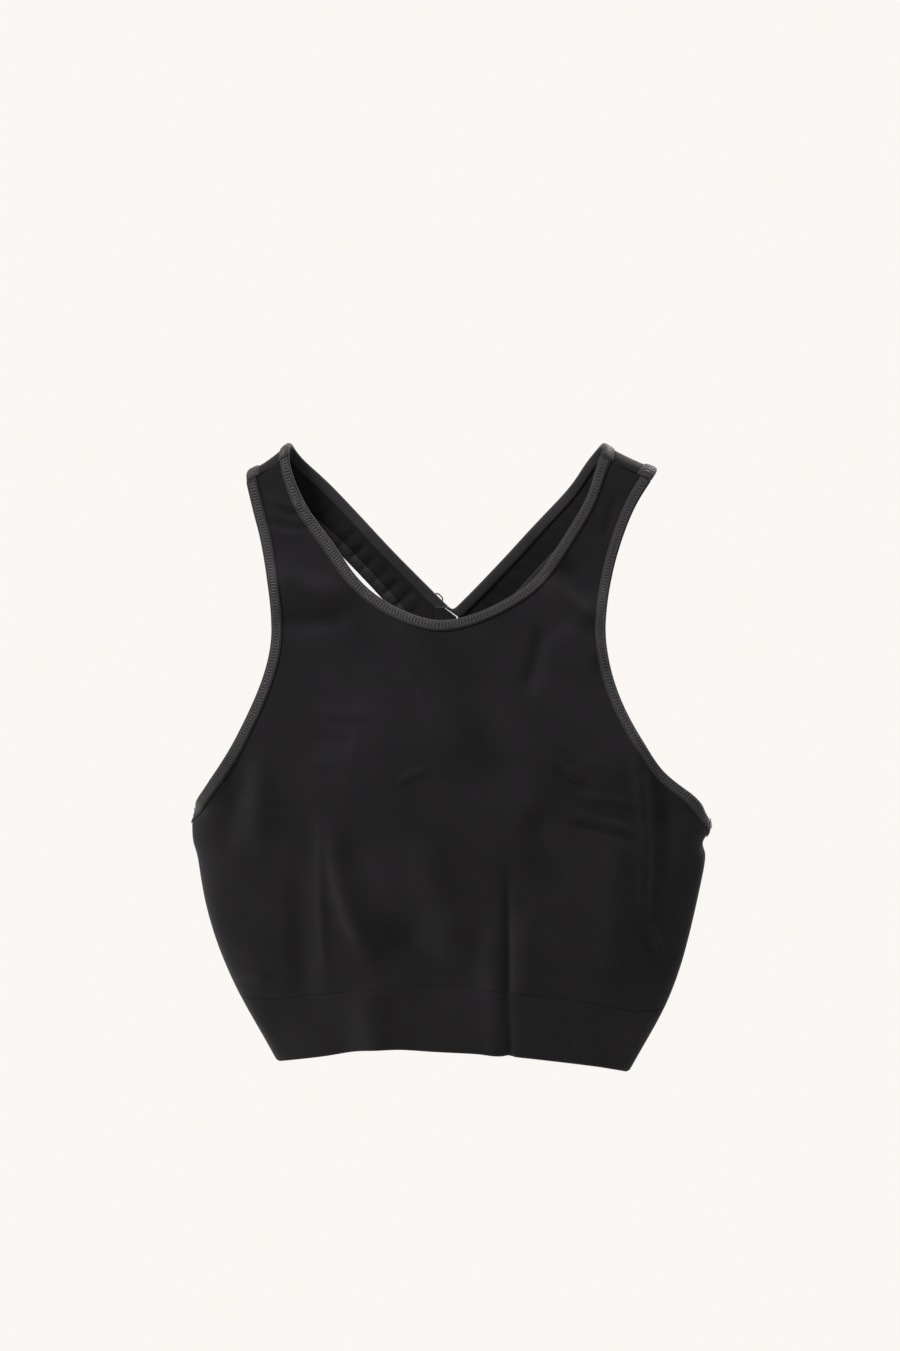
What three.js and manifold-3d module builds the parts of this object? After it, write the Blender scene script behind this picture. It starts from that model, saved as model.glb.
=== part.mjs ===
// A racer-back crop top for gymnastics, hanging from the two arms of a clothes hanger.
// Millimetres, +Z up, front facing -Y. The origin is midway between the shoulders, at the height of
// the hanger's arms under the middle of each strap. A "drop" is a distance down from the origin.
//
// The hanging top is one closed "bag", and every layer of cloth lies between two copies of the bag
// that are inset by different amounts. Flat outlines seen from the front and swept along Y cut the
// neck, the armholes and the band out of those layers.

import * as THREE from "three";
import { mergeVertices } from "three/addons/utils/BufferGeometryUtils.js";
import Module from "manifold-3d";

const wasm = await Module();
wasm.setup();

// ---------------------------------------------------------------- driving dimensions

const fabric = 0.8; // shell knit
const liningFabric = 0.5;
const sewnGap = 0.3; // clearance between two layers that lie on each other
const joinGap = 0.4; // clearance where two pieces are sewn edge to edge

const hangerSlope = THREE.MathUtils.degToRad(30);
const crestRadius = 10; // the strap's fold over the hanger's arm
const strapMid = 106.5; // centre line of the top to the middle of a strap, at its crest
const strapWidth = 28.5; // over both bindings, at its crest
const seamDrop = 8; // shoulder seam, down the front from the crest

const neckDrop = 93.5; // front neck edge at the centre
const neckPower = 1.64; // 2 makes the neck an ellipse, and 1 a straight V
const chestHalf = 98.5; // half the front's width where the armholes come nearest
const chestDrop = 99;
const armholePower = 1.9; // how slowly the armhole leaves that place, above and below it
const underarmDrop = 206;
const sideCurve = 2; // how much wider the side swells below the underarm

const backNeckDrop = 87;
const backNeckPower = 1.02;
const spineHalf = 22; // half the racer back's narrowest width
const spineDrop = 110;
const backStrapPower = 1.27;
const backUnderarmPower = 2.1;

const bustHalf = 152.5; // half the flat width under the arm
const bustDrop = 217;
const waistHalf = 137.5;
const waistDrop = 285;
const bandTopHalf = 125.5;
const hemHalf = 104;
const hemDrop = 357; // at the side
const hemRise = 11; // the hem is this much higher at the centre than at the side
const bandHeight = 38;

const frontDepth = { chest: 16.5, bust: 28, band: 22, hem: 18 }; // from the side fold's plane
const backDepth = { chest: 16, bust: 20, band: 17, hem: 14 };
const fullestDrop = 190; // where the bust depths are measured
const shoulderDrop = 40; // above this the cloth lies against the fold over the hanger

const cupAcross = 62; // centre line to the middle of a cup
const cupDrop = 190;
const cupRadius = 49;
const padEdge = 0.7;
const padCrown = 5; // what the pad's middle adds to its edge

const bindingWidth = 6.4;
const tape = 0.6; // one leg of the folded binding tape
const threadWidth = 2.8; // two rows of thread and the bars between them
const threadInset = 1.8; // from the garment's edge
const thread = 0.3;

const elastic = 0.7;
const elasticTuck = 2; // cloth above the elastic, inside the band
const bandFold = 1; // cloth under the band's slot, at the hem
const seamWidth = 5; // an overlocked seam allowance
const seamRoll = 1.6;
const seamEase = 0.3; // extra room for the side seams where the side fold is tightest
const tackLength = 7;
const tackWidth = 4;

const label = { width: 14, length: 21, ply: 0.4, fold: 0.6, across: -3, drop: 86 };
const labelEase = 0.9; // the back curves this much behind a flat label, with its clearance
const labelTack = { length: 11, size: 0.9 };

const lean = -8.5; // the front hangs this far off the shoulders' centre line
const leanFull = [40, 140]; // drops between which it leans that far
const leanEnds = [-5, 235]; // drops where the lean has faded out
const skew = 0.03; // the +X side hangs lower, as a share of the distance from the centre line

const columns = 14; // faces across the bag
const rows = 10; // faces from below the hem to the shoulder fold
const foldFaces = 2; // faces up a quarter of the fold over the hanger
const edgePoints = 9; // points along a neck edge or half an armhole edge
const reach = 60; // cutting prisms go this far past the cloth
const hemMargin = 0.06; // the bag goes on below the hem by this share of its height
const crestOverlap = 1.2; // the strap tops' outline runs this far into the back
const sidePast = 1.1; // an armhole's outline goes on past the side fold by a tenth of its height

// ---------------------------------------------------------------- shape of the hanging top

const sewn = fabric + sewnGap; // inner face of a panel to the next layer
const crestLift = sewn + tape; // outer face of a panel above the hanger's arm
const innerHalf = strapMid - strapWidth / 2;
const outerHalf = strapMid + strapWidth / 2;
const underarmHalf = bustHalf - sideCurve;
const bandTopDrop = hemDrop - bandHeight;
const panelInset = tape + sewnGap; // a binding's fold stands this far past the panel's edge
const { lerp, clamp } = THREE.MathUtils;

// A smooth function through [at, value] pairs in rising order, level past its ends.
function smoothThrough(pairs) {
  const last = pairs.length - 1;
  const slopes = pairs.map((_, i) => {
    const [before, after] = [pairs[Math.max(i - 1, 0)], pairs[Math.min(i + 1, last)]];
    return (after[1] - before[1]) / (after[0] - before[0]);
  });
  return (at) => {
    const next = pairs.findIndex((pair) => pair[0] > at);
    if (next === 0) return pairs[0][1];
    if (next < 0) return pairs.at(-1)[1];
    const [[x0, y0], [x1, y1]] = [pairs[next - 1], pairs[next]];
    const s = (at - x0) / (x1 - x0);
    const rise = (x1 - x0) * s * (1 - s);
    const blend = s * s * (3 - 2 * s);
    return lerp(y0, y1, blend) + rise * ((1 - s) * slopes[next - 1] - s * slopes[next]);
  };
}

const crestTop = (x) => crestLift - (Math.abs(x) - strapMid) * Math.tan(hangerSlope);
const crestAxis = (x) => crestTop(x) - crestRadius;
const hemLevel = (x) => -hemDrop + hemRise * Math.max(0, 1 - (x / hemHalf) ** 2);
const sideHalf = smoothThrough([
  [-hemDrop, hemHalf],
  [-bandTopDrop, bandTopHalf],
  [-waistDrop, waistHalf],
  [-bustDrop, bustHalf],
]);
const depthOf = (depth) =>
  smoothThrough([
    [-hemDrop, depth.hem],
    [-bandTopDrop, depth.band],
    [-fullestDrop, depth.bust],
    [-chestDrop, depth.chest],
    [-shoulderDrop, crestRadius],
  ]);
const forward = depthOf(frontDepth);
const backward = depthOf(backDepth);
// 2 is an ellipse seen from above, and 8 is nearly a rectangle.
const squareness = smoothThrough([
  [-underarmDrop, 2],
  [-shoulderDrop, 8],
]);

// A point of the bag's outer face. u runs from side to side, v from hem to shoulder, and a quarter
// turn of "over" goes from there to the top of the fold.
function bagPoint(u, v, over, side) {
  const atSide = lerp(-hemDrop, crestAxis(bustHalf), v);
  const x = u * sideHalf(atSide);
  const level = lerp(hemLevel(x), crestAxis(x), v);
  const power = squareness(level);
  const taper = Math.max(0, 1 - Math.abs(u) ** power) ** (1 / power);
  const depth = side < 0 ? forward(level) : backward(level);
  return [x, side * depth * taper * Math.cos(over), level + crestRadius * Math.sin(over)];
}

// The bag as a grid: vertices, the normals of its outer face, and its triangles.
function makeBag() {
  const spots = [];
  const top = rows + foldFaces;
  const at = [-1, 1].map(() => []);
  for (const [layer, side] of [-1, 1].entries()) {
    for (let j = 0; j <= top; j += 1) {
      for (let i = 0; i <= columns; i += 1) {
        const shared = side > 0 && (i === 0 || i === columns || j === top);
        const index = shared ? at[0][j * (columns + 1) + i] : spots.length / 3;
        at[layer].push(index);
        if (shared) continue;
        const u = -Math.cos((Math.PI * i) / columns);
        const v = lerp(-hemMargin, 1, Math.min(j / rows, 1));
        const over = (Math.max(0, j - rows) / foldFaces) * (Math.PI / 2);
        spots.push(...bagPoint(u, v, over, side));
      }
    }
  }
  const walls = [];
  for (let j = 0; j < top; j += 1) {
    for (let i = 0; i < columns; i += 1) {
      const here = j * (columns + 1) + i;
      const above = here + columns + 1;
      const [front, back] = at;
      walls.push(front[here], front[here + 1], front[above]);
      walls.push(front[here + 1], front[above + 1], front[above]);
      walls.push(back[here], back[above], back[here + 1]);
      walls.push(back[here + 1], back[above], back[above + 1]);
    }
  }
  const geometry = new THREE.BufferGeometry();
  geometry.setAttribute("position", new THREE.Float32BufferAttribute(spots, 3));
  geometry.setIndex(walls);
  geometry.computeVertexNormals();
  const floor = [];
  for (let i = 0; i < columns; i += 1) {
    const [a, b, c, d] = [at[0][i], at[1][i], at[1][i + 1], at[0][i + 1]];
    if (a !== b) floor.push(a, b, c);
    if (c !== d) floor.push(a, c, d);
  }
  return { spots, normals: geometry.attributes.normal.array, triangles: [...walls, ...floor] };
}

const outerBag = makeBag();

// How far a pad in its pocket pushes the layers behind it inwards, from 0 to 1.
function cupCrown(x, y, z) {
  if (y > 0) return 0;
  const away = Math.hypot(Math.abs(x) - cupAcross, z + cupDrop) / cupRadius;
  return Math.max(0, 1 - away * away);
}

// The bag with its faces moved inwards, and further still behind the pads.
function bag(inset, crown = 0) {
  const { spots, normals, triangles } = outerBag;
  const moved = Float32Array.from(spots, (value, k) => {
    const first = k - (k % 3);
    const depth = inset + crown * cupCrown(spots[first], spots[first + 1], spots[first + 2]);
    return value - normals[k] * depth;
  });
  const mesh = { numProp: 3, vertProperties: moved, triVerts: Uint32Array.from(triangles) };
  return new wasm.Manifold(new wasm.Mesh(mesh));
}

// The layer between two insets. A layer stands off the outer face by its first number.
function layer(from, to, fromCrown = 0, toCrown = fromCrown) {
  return bag(from, fromCrown).subtract(bag(to, toCrown));
}

// ---------------------------------------------------------------- outlines seen from the front

const spread = (count, at) => Array.from({ length: count + 1 }, (_, k) => at(k / count));

// From the centre of the neck up its edge to the crest, and straight on past it.
function neckEdge(drop, power) {
  const height = drop + crestTop(innerHalf);
  const curve = spread(edgePoints, (s) => {
    const turn = (s * Math.PI) / 2;
    const [x, z] = [Math.sin(turn) ** (2 / power), 1 - Math.cos(turn) ** (2 / power)];
    return [innerHalf * x, -drop + height * z];
  });
  return [...curve, [innerHalf, crestTop(innerHalf) + crestRadius]];
}

// From past the side fold up the armhole's edge to the crest, and straight on past it.
function armholeEdge(narrowHalf, narrowDrop, lowPower, highPower) {
  const low = underarmDrop - narrowDrop;
  const high = narrowDrop + crestTop(outerHalf);
  const lower = spread(edgePoints, (s) => {
    const fall = sidePast * (1 - s);
    return [narrowHalf + (underarmHalf - narrowHalf) * fall ** lowPower, -narrowDrop - fall * low];
  });
  const upper = spread(edgePoints, (s) => {
    return [narrowHalf + (outerHalf - narrowHalf) * s ** highPower, -narrowDrop + s * high];
  });
  return [...lower, ...upper.slice(1), [outerHalf, crestTop(outerHalf) + crestRadius]];
}

const frontEdges = {
  neck: neckEdge(neckDrop, neckPower),
  armhole: armholeEdge(chestHalf, chestDrop, armholePower, armholePower),
};
const backEdges = {
  neck: neckEdge(backNeckDrop, backNeckPower),
  armhole: armholeEdge(spineHalf, spineDrop, backUnderarmPower, backStrapPower),
};

// The line moved sideways, to its right when distance is above 0.
function offsetLine(line, distance) {
  return line.map(([x, z], k) => {
    const [before, after] = [line[Math.max(k - 1, 0)], line[Math.min(k + 1, line.length - 1)]];
    const [along, up] = [after[0] - before[0], after[1] - before[1]];
    const length = Math.hypot(along, up);
    return [x + (distance * up) / length, z - (distance * along) / length];
  });
}

const box = (half, low, high, from = -half) => [
  [from, low],
  [half, low],
  [half, high],
  [from, high],
];
const mirrored = (line) => line.map(([x, z]) => [-x, z]).reverse();

function solid(geometry) {
  geometry.deleteAttribute("normal");
  geometry.deleteAttribute("uv");
  const merged = mergeVertices(geometry);
  const vertProperties = merged.attributes.position.array;
  return new wasm.Manifold(new wasm.Mesh({ numProp: 3, vertProperties, triVerts: merged.index.array }));
}

// An outline of [x, z] points, swept from one Y to another.
function prism(outline, fromY, toY) {
  const shape = new THREE.Shape(outline.map(([x, z]) => new THREE.Vector2(x, z)));
  const block = new THREE.ExtrudeGeometry(shape, { depth: toY - fromY, bevelEnabled: false });
  block.rotateX(Math.PI / 2);
  block.translate(0, toY, 0);
  return solid(block);
}

const FRONT = [-reach, -joinGap / 2];
const BACK = [joinGap / 2, reach];

// All that lies between a neck edge and the two armhole edges, inset from them, and above the hem.
function bodice(edges, inset, [fromY, toY]) {
  const neck = offsetLine(edges.neck, inset);
  neck[0][0] = 0;
  const armhole = offsetLine(edges.armhole, -inset);
  const wide = bustHalf + reach;
  const half = [...neck, ...armhole.toReversed(), [wide, armhole[0][1]], [wide, -hemDrop - reach]];
  return prism([...half, ...mirrored(half).slice(0, -1)], fromY, toY);
}

// Above a line that follows the fold over the hanger, some way under it.
function aboveShoulder(below, [fromY, toY]) {
  const wide = bustHalf + reach;
  const line = [0, wide].map((x) => [x, crestTop(x) - below]);
  const roof = crestTop(0) + reach;
  return prism([...line, [wide, roof], [-wide, roof], [-wide, line[1][1]]], fromY, toY);
}

// Between two heights over the hem line.
function overHem(from, to, [fromY, toY] = [-reach, reach]) {
  const line = spread(edgePoints, (s) => lerp(-1, 1, s) * (bustHalf + reach));
  const low = line.map((x) => [x, hemLevel(x) + from]);
  const high = line.map((x) => [x, hemLevel(x) + to]).reverse();
  return prism([...low, ...high], fromY, toY);
}

const aboveBand = (gap) => [bandHeight + gap, hemDrop + 2 * reach];

// ---------------------------------------------------------------- regions of the two halves

const backHalf = prism(box(bustHalf + reach, -2 * hemDrop, hemDrop), ...BACK);
const strapTop = aboveShoulder(seamDrop - joinGap / 2, [-reach, crestOverlap]);

// The front stops at the shoulder seam.
const front = {
  region: (inset) => bodice(frontEdges, inset, FRONT),
  trim: (piece) => piece.subtract(aboveShoulder(seamDrop + joinGap / 2, FRONT)),
};

// The back goes over the hanger and a little way down the front, to the shoulder seam.
const back = {
  region: (inset, grown = 0) => {
    const behind = bodice(backEdges, inset, [BACK[0] - grown, reach]);
    return behind.add(bodice(frontEdges, inset, [-reach, crestOverlap + grown]));
  },
  trim: (piece) => piece.intersect(backHalf.add(strapTop)),
};

// Midway between neck and armhole, which parts the neck's tape from the armholes' tapes.
function neckSide(edges, [fromY, toY]) {
  const narrow = edgePoints;
  const middle = edges.neck.map(([x, z], k) => {
    const across = edges.armhole[narrow + k];
    return [(x + across[0]) / 2, (z + across[1]) / 2];
  });
  const [lowX, lowZ] = middle[0];
  const [highX, highZ] = middle.at(-1);
  const half = [[lowX, lowZ - bindingWidth], ...middle, [highX, highZ + reach]];
  return prism([...half, ...mirrored(half)], fromY, toY);
}

const rightHalf = prism(box(bustHalf + reach, -2 * hemDrop, hemDrop, 0), -reach, reach);
const frontNeckSide = neckSide(frontEdges, [-reach, 0]);
const backNeckSide = neckSide(backEdges, [0, reach]).add(frontNeckSide);

// ---------------------------------------------------------------- cloth

const shell = layer(0, fabric);
const shellAboveBand = shell.intersect(overHem(...aboveBand(joinGap)));

const panel = (half) => half.trim(shellAboveBand.intersect(half.region(panelInset)));

const padFace = sewn;
const padBack = padFace + padEdge;
const liningFace = padBack + sewnGap;

// A pad fills its pocket between the front panel and the lining.
function cupPad(side) {
  const rim = new THREE.Shape().absarc(side * cupAcross, -cupDrop, cupRadius, 0, 2 * Math.PI);
  const outline = rim.getPoints(2 * edgePoints).map((point) => [point.x, point.y]);
  return layer(padFace, padBack, 0, padCrown).intersect(prism(outline.slice(0, -1), ...FRONT));
}

// The lining's edges lie behind the bindings and stop short of the seam allowances.
function frontLining() {
  const ply = layer(liningFace, liningFace + liningFabric, padCrown);
  const clearOfSides = [-reach, -seamRoll / 2 - sewnGap];
  const cut = bodice(frontEdges, bindingWidth / 2, clearOfSides);
  const neckline = aboveShoulder(seamDrop + seamWidth / 2 + joinGap, FRONT);
  return ply.intersect(cut).subtract(neckline).intersect(overHem(...aboveBand(2 * joinGap + seamWidth)));
}

// The hem band is folded double at the hem, and the elastic lies in the fold.
const bandInside = elastic + 2 * sewnGap;
const bandThickness = 2 * fabric + bandInside;

function hemBand(side) {
  const folded = layer(0, bandThickness).intersect(overHem(0, bandHeight, side));
  const slot = layer(fabric, fabric + bandInside).intersect(overHem(bandFold, bandHeight + reach));
  return folded.subtract(slot);
}

function bandElastic() {
  const low = bandFold + sewnGap;
  return layer(sewn, sewn + elastic).intersect(overHem(low, bandHeight - elasticTuck));
}

// ---------------------------------------------------------------- bindings and their stitching

// A tape folded round the edges of a panel, neck and armholes together.
function foldedTape({ region, trim }) {
  const around = layer(-panelInset, crestLift).intersect(region(0).subtract(region(bindingWidth)));
  const pocket = layer(-sewnGap, sewn).intersect(region(tape, sewnGap));
  return trim(around.subtract(pocket));
}

// The rows of thread on the outer leg of a tape, as one flat ribbon.
function threadRows({ region, trim }) {
  const face = panelInset + sewnGap;
  const strip = region(threadInset).subtract(region(threadInset + threadWidth));
  return trim(layer(-face - thread, -face).intersect(strip));
}

function trims(make, half, neckPart) {
  const all = make(half);
  const armholes = all.subtract(neckPart);
  const [right, left] = [armholes.intersect(rightHalf), armholes.subtract(rightHalf)];
  return { neck: all.intersect(neckPart), left, right };
}

// ---------------------------------------------------------------- seams and tacks

// A rolled seam allowance inside each strap, between the bindings.
function shoulderSeam(side) {
  const roll = layer(sewn, sewn + seamRoll).intersect(bodice(frontEdges, bindingWidth + joinGap, FRONT));
  const low = seamDrop + seamWidth / 2;
  const across = aboveShoulder(low, FRONT).subtract(aboveShoulder(low - seamWidth, FRONT));
  const both = roll.intersect(across);
  return side > 0 ? both.intersect(rightHalf) : both.subtract(rightHalf);
}

// A seam allowance inside each side fold, from the underarm binding to the band.
function sideSeam(side) {
  const flat = [-seamRoll / 2, seamRoll / 2];
  const face = sewn + seamEase;
  const reachIn = face + seamWidth;
  const levels = spread(edgePoints, (s) => lerp(-hemDrop, -underarmDrop, s));
  const innerLine = levels.map((z) => [sideHalf(z) - reachIn, z]);
  const wide = bustHalf + reach;
  const strip = prism([...innerLine, [wide, -underarmDrop], [wide, -hemDrop]], ...flat);
  const below = bodice(frontEdges, bindingWidth + joinGap, flat);
  const aboveSeam = overHem(...aboveBand(2 * joinGap + seamWidth));
  const right = bag(face).intersect(strip).intersect(below).intersect(aboveSeam);
  return side > 0 ? right : right.scale([-1, 1, 1]);
}

const bandSeam = () =>
  layer(sewn, sewn + seamRoll).intersect(overHem(bandHeight + joinGap, bandHeight + joinGap + seamWidth));

// A bar of thread over the rows of thread, where the front and back armhole bindings meet.
function underarmTack(side) {
  const face = panelInset + sewnGap + thread + sewnGap;
  const low = -underarmDrop - tackLength;
  const wide = bustHalf + reach;
  const strip = prism(box(wide, low, low + tackLength, strapMid), -tackWidth / 2, tackWidth / 2);
  const right = layer(-face - thread, -face).intersect(strip);
  return side > 0 ? right : right.scale([-1, 1, 1]);
}

// ---------------------------------------------------------------- label

const labelThickness = 2 * label.ply + label.fold;
const labelBack = backward(-label.drop) - crestLift - labelEase;

// A woven label folded in half: its fold is at the bottom, and both ends are sewn at the top.
function careLabel() {
  const outline = new THREE.Shape();
  outline.moveTo(0, 0);
  outline.lineTo(0, label.length);
  outline.lineTo(label.ply, label.length);
  outline.lineTo(label.ply, label.ply);
  outline.lineTo(label.ply + label.fold, label.ply);
  outline.lineTo(label.ply + label.fold, label.length);
  outline.lineTo(labelThickness, label.length);
  outline.lineTo(labelThickness, 0);
  const folded = new THREE.ExtrudeGeometry(outline, { depth: label.width, bevelEnabled: false });
  folded.rotateX(Math.PI / 2);
  folded.rotateZ(Math.PI / 2);
  folded.translate(label.across - label.width / 2, labelBack - labelThickness, -label.drop - label.length);
  return solid(folded);
}

function labelThread() {
  const bar = new THREE.BoxGeometry(labelTack.length, labelTack.size, labelTack.size);
  const up = -label.drop + sewnGap + labelTack.size / 2;
  bar.translate(label.across, labelBack - labelTack.size / 2, up);
  return solid(bar);
}

// ---------------------------------------------------------------- the top as it hangs

const leanAt = smoothThrough([
  [-leanEnds[1], 0],
  [-leanFull[1], lean],
  [-leanFull[0], lean],
  [-leanEnds[0], 0],
]);

// The straps and the back stay straight under the hanger while the front leans to one side and one
// side hangs lower.
function hang(x, y, z) {
  const lower = clamp(-z / underarmDrop, 0, 1);
  const inFront = clamp(0.5 - y / (2 * backDepth.chest), 0, 1);
  return [x + leanAt(z) * inFront, y, z - skew * x * lower];
}

function hungMesh(name, piece, color, roughness) {
  const { vertProperties, numProp, triVerts } = piece.getMesh();
  const spots = [];
  for (let k = 0; k < vertProperties.length; k += numProp) {
    spots.push(...hang(vertProperties[k], vertProperties[k + 1], vertProperties[k + 2]));
  }
  const geometry = new THREE.BufferGeometry();
  geometry.setAttribute("position", new THREE.Float32BufferAttribute(spots, 3));
  geometry.setIndex([...triVerts]);
  geometry.computeVertexNormals();
  const mesh = new THREE.Mesh(geometry, new THREE.MeshStandardMaterial({ color, roughness, metalness: 0 }));
  mesh.name = name;
  return mesh;
}

const BODY = "#232125";
const BINDING = "#3f3d41";
const INSIDE = "#2a282c";
const THREAD = "#1c1b1e";
const PAD = "#2f2d31";
const LABEL = "#18171a";

const garment = new THREE.Group();
const add = (name, piece, color, roughness = 0.9) => garment.add(hungMesh(name, piece, color, roughness));

add("front_panel", panel(front), BODY);
add("back_panel", panel(back), BODY);
add("front_lining", frontLining(), INSIDE);
add("front_hem_band", hemBand(FRONT), BODY);
add("back_hem_band", hemBand(BACK), BODY);
add("underband_elastic", bandElastic(), INSIDE, 0.7);
add("band_seam", bandSeam(), THREAD);

for (const [face, half, neckPart] of [
  ["front", front, frontNeckSide],
  ["back", back, backNeckSide],
]) {
  const tapes = trims(foldedTape, half, neckPart);
  const rowsOfThread = trims(threadRows, half, neckPart);
  add(`${face}_neck_binding`, tapes.neck, BINDING);
  add(`${face}_neck_stitching`, rowsOfThread.neck, THREAD);
  for (const side of ["left", "right"]) {
    add(`${face}_armhole_binding_${side}`, tapes[side], BINDING);
    add(`${face}_armhole_stitching_${side}`, rowsOfThread[side], THREAD);
  }
}

for (const [side, sign] of [
  ["left", -1],
  ["right", 1],
]) {
  add(`cup_pad_${side}`, cupPad(sign), PAD, 0.95);
  add(`shoulder_seam_${side}`, shoulderSeam(sign), THREAD);
  add(`side_seam_${side}`, sideSeam(sign), THREAD);
  add(`underarm_tack_${side}`, underarmTack(sign), THREAD);
}

add("care_label", careLabel(), LABEL, 0.6);
add("label_tack", labelThread(), THREAD);

export default garment;
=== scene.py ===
import math

import bmesh
import bpy
import numpy as np
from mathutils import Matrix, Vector, geometry


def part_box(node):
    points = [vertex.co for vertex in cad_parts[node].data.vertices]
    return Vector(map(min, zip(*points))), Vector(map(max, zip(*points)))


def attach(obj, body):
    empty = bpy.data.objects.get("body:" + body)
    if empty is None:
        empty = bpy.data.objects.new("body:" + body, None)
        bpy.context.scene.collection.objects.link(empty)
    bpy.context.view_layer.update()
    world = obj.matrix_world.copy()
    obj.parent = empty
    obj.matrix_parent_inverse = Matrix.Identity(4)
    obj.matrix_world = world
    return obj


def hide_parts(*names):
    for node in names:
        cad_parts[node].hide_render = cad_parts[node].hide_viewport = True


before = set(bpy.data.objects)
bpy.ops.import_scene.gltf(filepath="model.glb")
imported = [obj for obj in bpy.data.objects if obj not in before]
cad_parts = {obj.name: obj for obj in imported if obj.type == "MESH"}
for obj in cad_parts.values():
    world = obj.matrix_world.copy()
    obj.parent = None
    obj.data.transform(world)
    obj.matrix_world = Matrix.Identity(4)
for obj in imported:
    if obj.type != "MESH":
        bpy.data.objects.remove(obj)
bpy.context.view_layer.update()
bpy.ops.object.select_all(action="DESELECT")

# The cloth is worked out in millimetres, on a chart of the flat cloth: "along" runs round the body from
# the centre line, and "up" runs up the cloth and over the hanger. Meshes are made in metres.

MM = 0.001
FRONT, BACK = -1, 1  # the two sides of the top, which are also their directions along Y
PI = math.pi

# ------------------------------------------------------------------------------ cut and hang of the top

HANGER_SLOPE = math.radians(30)
FOLD_RADIUS = 10.0  # the strap's fold over the hanger's arm, at its outer face
STRAP_MID = 106.5
STRAP_WIDTH = 28.5
SEAM_DROP = 8.0  # shoulder seam, below the fold's top

# Drops are below the origin, halves are from the centre line, and powers set how full a curve is.
NECK_DROP = 93.5
NECK_POWER = 1.64
CHEST_HALF = 98.5  # front armholes, at their narrowest
CHEST_DROP = 99.0
ARMHOLE_POWER = 1.9
UNDERARM_DROP = 206.0
BACK_NECK_DROP = 87.0
BACK_NECK_POWER = 1.02
SPINE_HALF = 22.0  # back armholes, at their narrowest
SPINE_DROP = 110.0
BACK_STRAP_POWER = 1.27
BACK_UNDERARM_POWER = 2.1

BUST_HALF = 152.5
HEM_HALF = 104.0
HEM_DROP = 357.0  # at the sides
HEM_RISE = 11.0  # of the hem's middle above its sides
BAND_HEIGHT = 38.0
BAND_TOP_HALF = 125.5
WAIST_HALF, WAIST_DROP = 137.5, 285.0
BUST_DROP = 217.0
UNDERARM_HALF = BUST_HALF - 2.0
CUP_ACROSS = 62.0
CUP_DROP = 190.0
CUP_RADIUS = 49.0
NARROW_STRAP_DROP = 40.0  # where the straps reach their least depth

CLOTH = 0.8
LINING = 0.5
SEWN_GAP = 0.3
TAPE = 0.6
BINDING_WIDTH = 6.4
SEWN = CLOTH + SEWN_GAP
FOLD_LIFT = SEWN + TAPE
SEAM_WIDTH = 5.0
SEAM_HEIGHT = 0.7  # room that a sewn allowance takes between the shell and the lining

LEAN = -8.5  # how far the front hangs to one side
SKEW = 0.03  # how far one side hangs lower, as a slope
CHEST_DEPTH = 16.0  # over which the lean fades out, from the front to the back

INNER_HALF = STRAP_MID - STRAP_WIDTH / 2
OUTER_HALF = STRAP_MID + STRAP_WIDTH / 2


def smooth_through(pairs):
    """A smooth function through (at, value) pairs in rising order, level past its ends."""
    at, value = (np.array(column, float) for column in zip(*pairs))
    before = np.maximum(np.arange(len(at)) - 1, 0)
    after = np.minimum(np.arange(len(at)) + 1, len(at) - 1)
    slope = (value[after] - value[before]) / (at[after] - at[before])

    def worked_out(where):
        where = np.clip(where, at[0], at[-1])
        k = np.clip(np.searchsorted(at, where, side="right"), 1, len(at) - 1)
        span = at[k] - at[k - 1]
        s = (where - at[k - 1]) / span
        blend = s * s * (3 - 2 * s)
        bow = span * s * (1 - s) * ((1 - s) * slope[k - 1] - s * slope[k])
        return value[k - 1] + (value[k] - value[k - 1]) * blend + bow

    return worked_out


def fold_top(x):
    """Height of the strap's fold over the hanger's sloping arm."""
    return FOLD_LIFT - (np.abs(x) - STRAP_MID) * math.tan(HANGER_SLOPE)


def fold_axis(x):
    """Height of the axis that the strap folds round."""
    return fold_top(x) - FOLD_RADIUS


def hem_level(x):
    return -HEM_DROP + HEM_RISE * np.maximum(0, 1 - (x / HEM_HALF) ** 2)


side_half = smooth_through(
    [
        (-HEM_DROP, HEM_HALF),
        (-HEM_DROP + BAND_HEIGHT, BAND_TOP_HALF),
        (-WAIST_DROP, WAIST_HALF),
        (-BUST_DROP, BUST_HALF),
    ]
)
DEPTH_LEVELS = (-HEM_DROP, -HEM_DROP + BAND_HEIGHT, -CUP_DROP, -CHEST_DROP, -NARROW_STRAP_DROP)
front_depth = smooth_through(zip(DEPTH_LEVELS, (18, 22, 28, 16.5, 10)))
back_depth = smooth_through(zip(DEPTH_LEVELS, (14, 17, 20, 16, 10)))
squareness = smooth_through([(-UNDERARM_DROP, 2), (-NARROW_STRAP_DROP, 8)])
lean_at = smooth_through([(-235, 0), (-140, LEAN), (-NARROW_STRAP_DROP, LEAN), (5, 0)])

# Length round the section from the centre line, as a share of the half width, against the angle.
TURNS = np.linspace(0, PI / 2, 400)
FLATNESS = 0.16
STEPS = np.sqrt(np.cos(TURNS) ** 2 + (FLATNESS * np.sin(TURNS)) ** 2)
ROUND = np.concatenate([[0], np.cumsum((STEPS[1:] + STEPS[:-1]) / 2 * np.diff(TURNS))])
SIDE_SHARE = ROUND[-1]
FIRST_SHARE = 1.02  # a first guess at how much longer the cloth is than its width
ROUNDS = 4  # of closing in on a point's place


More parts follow.
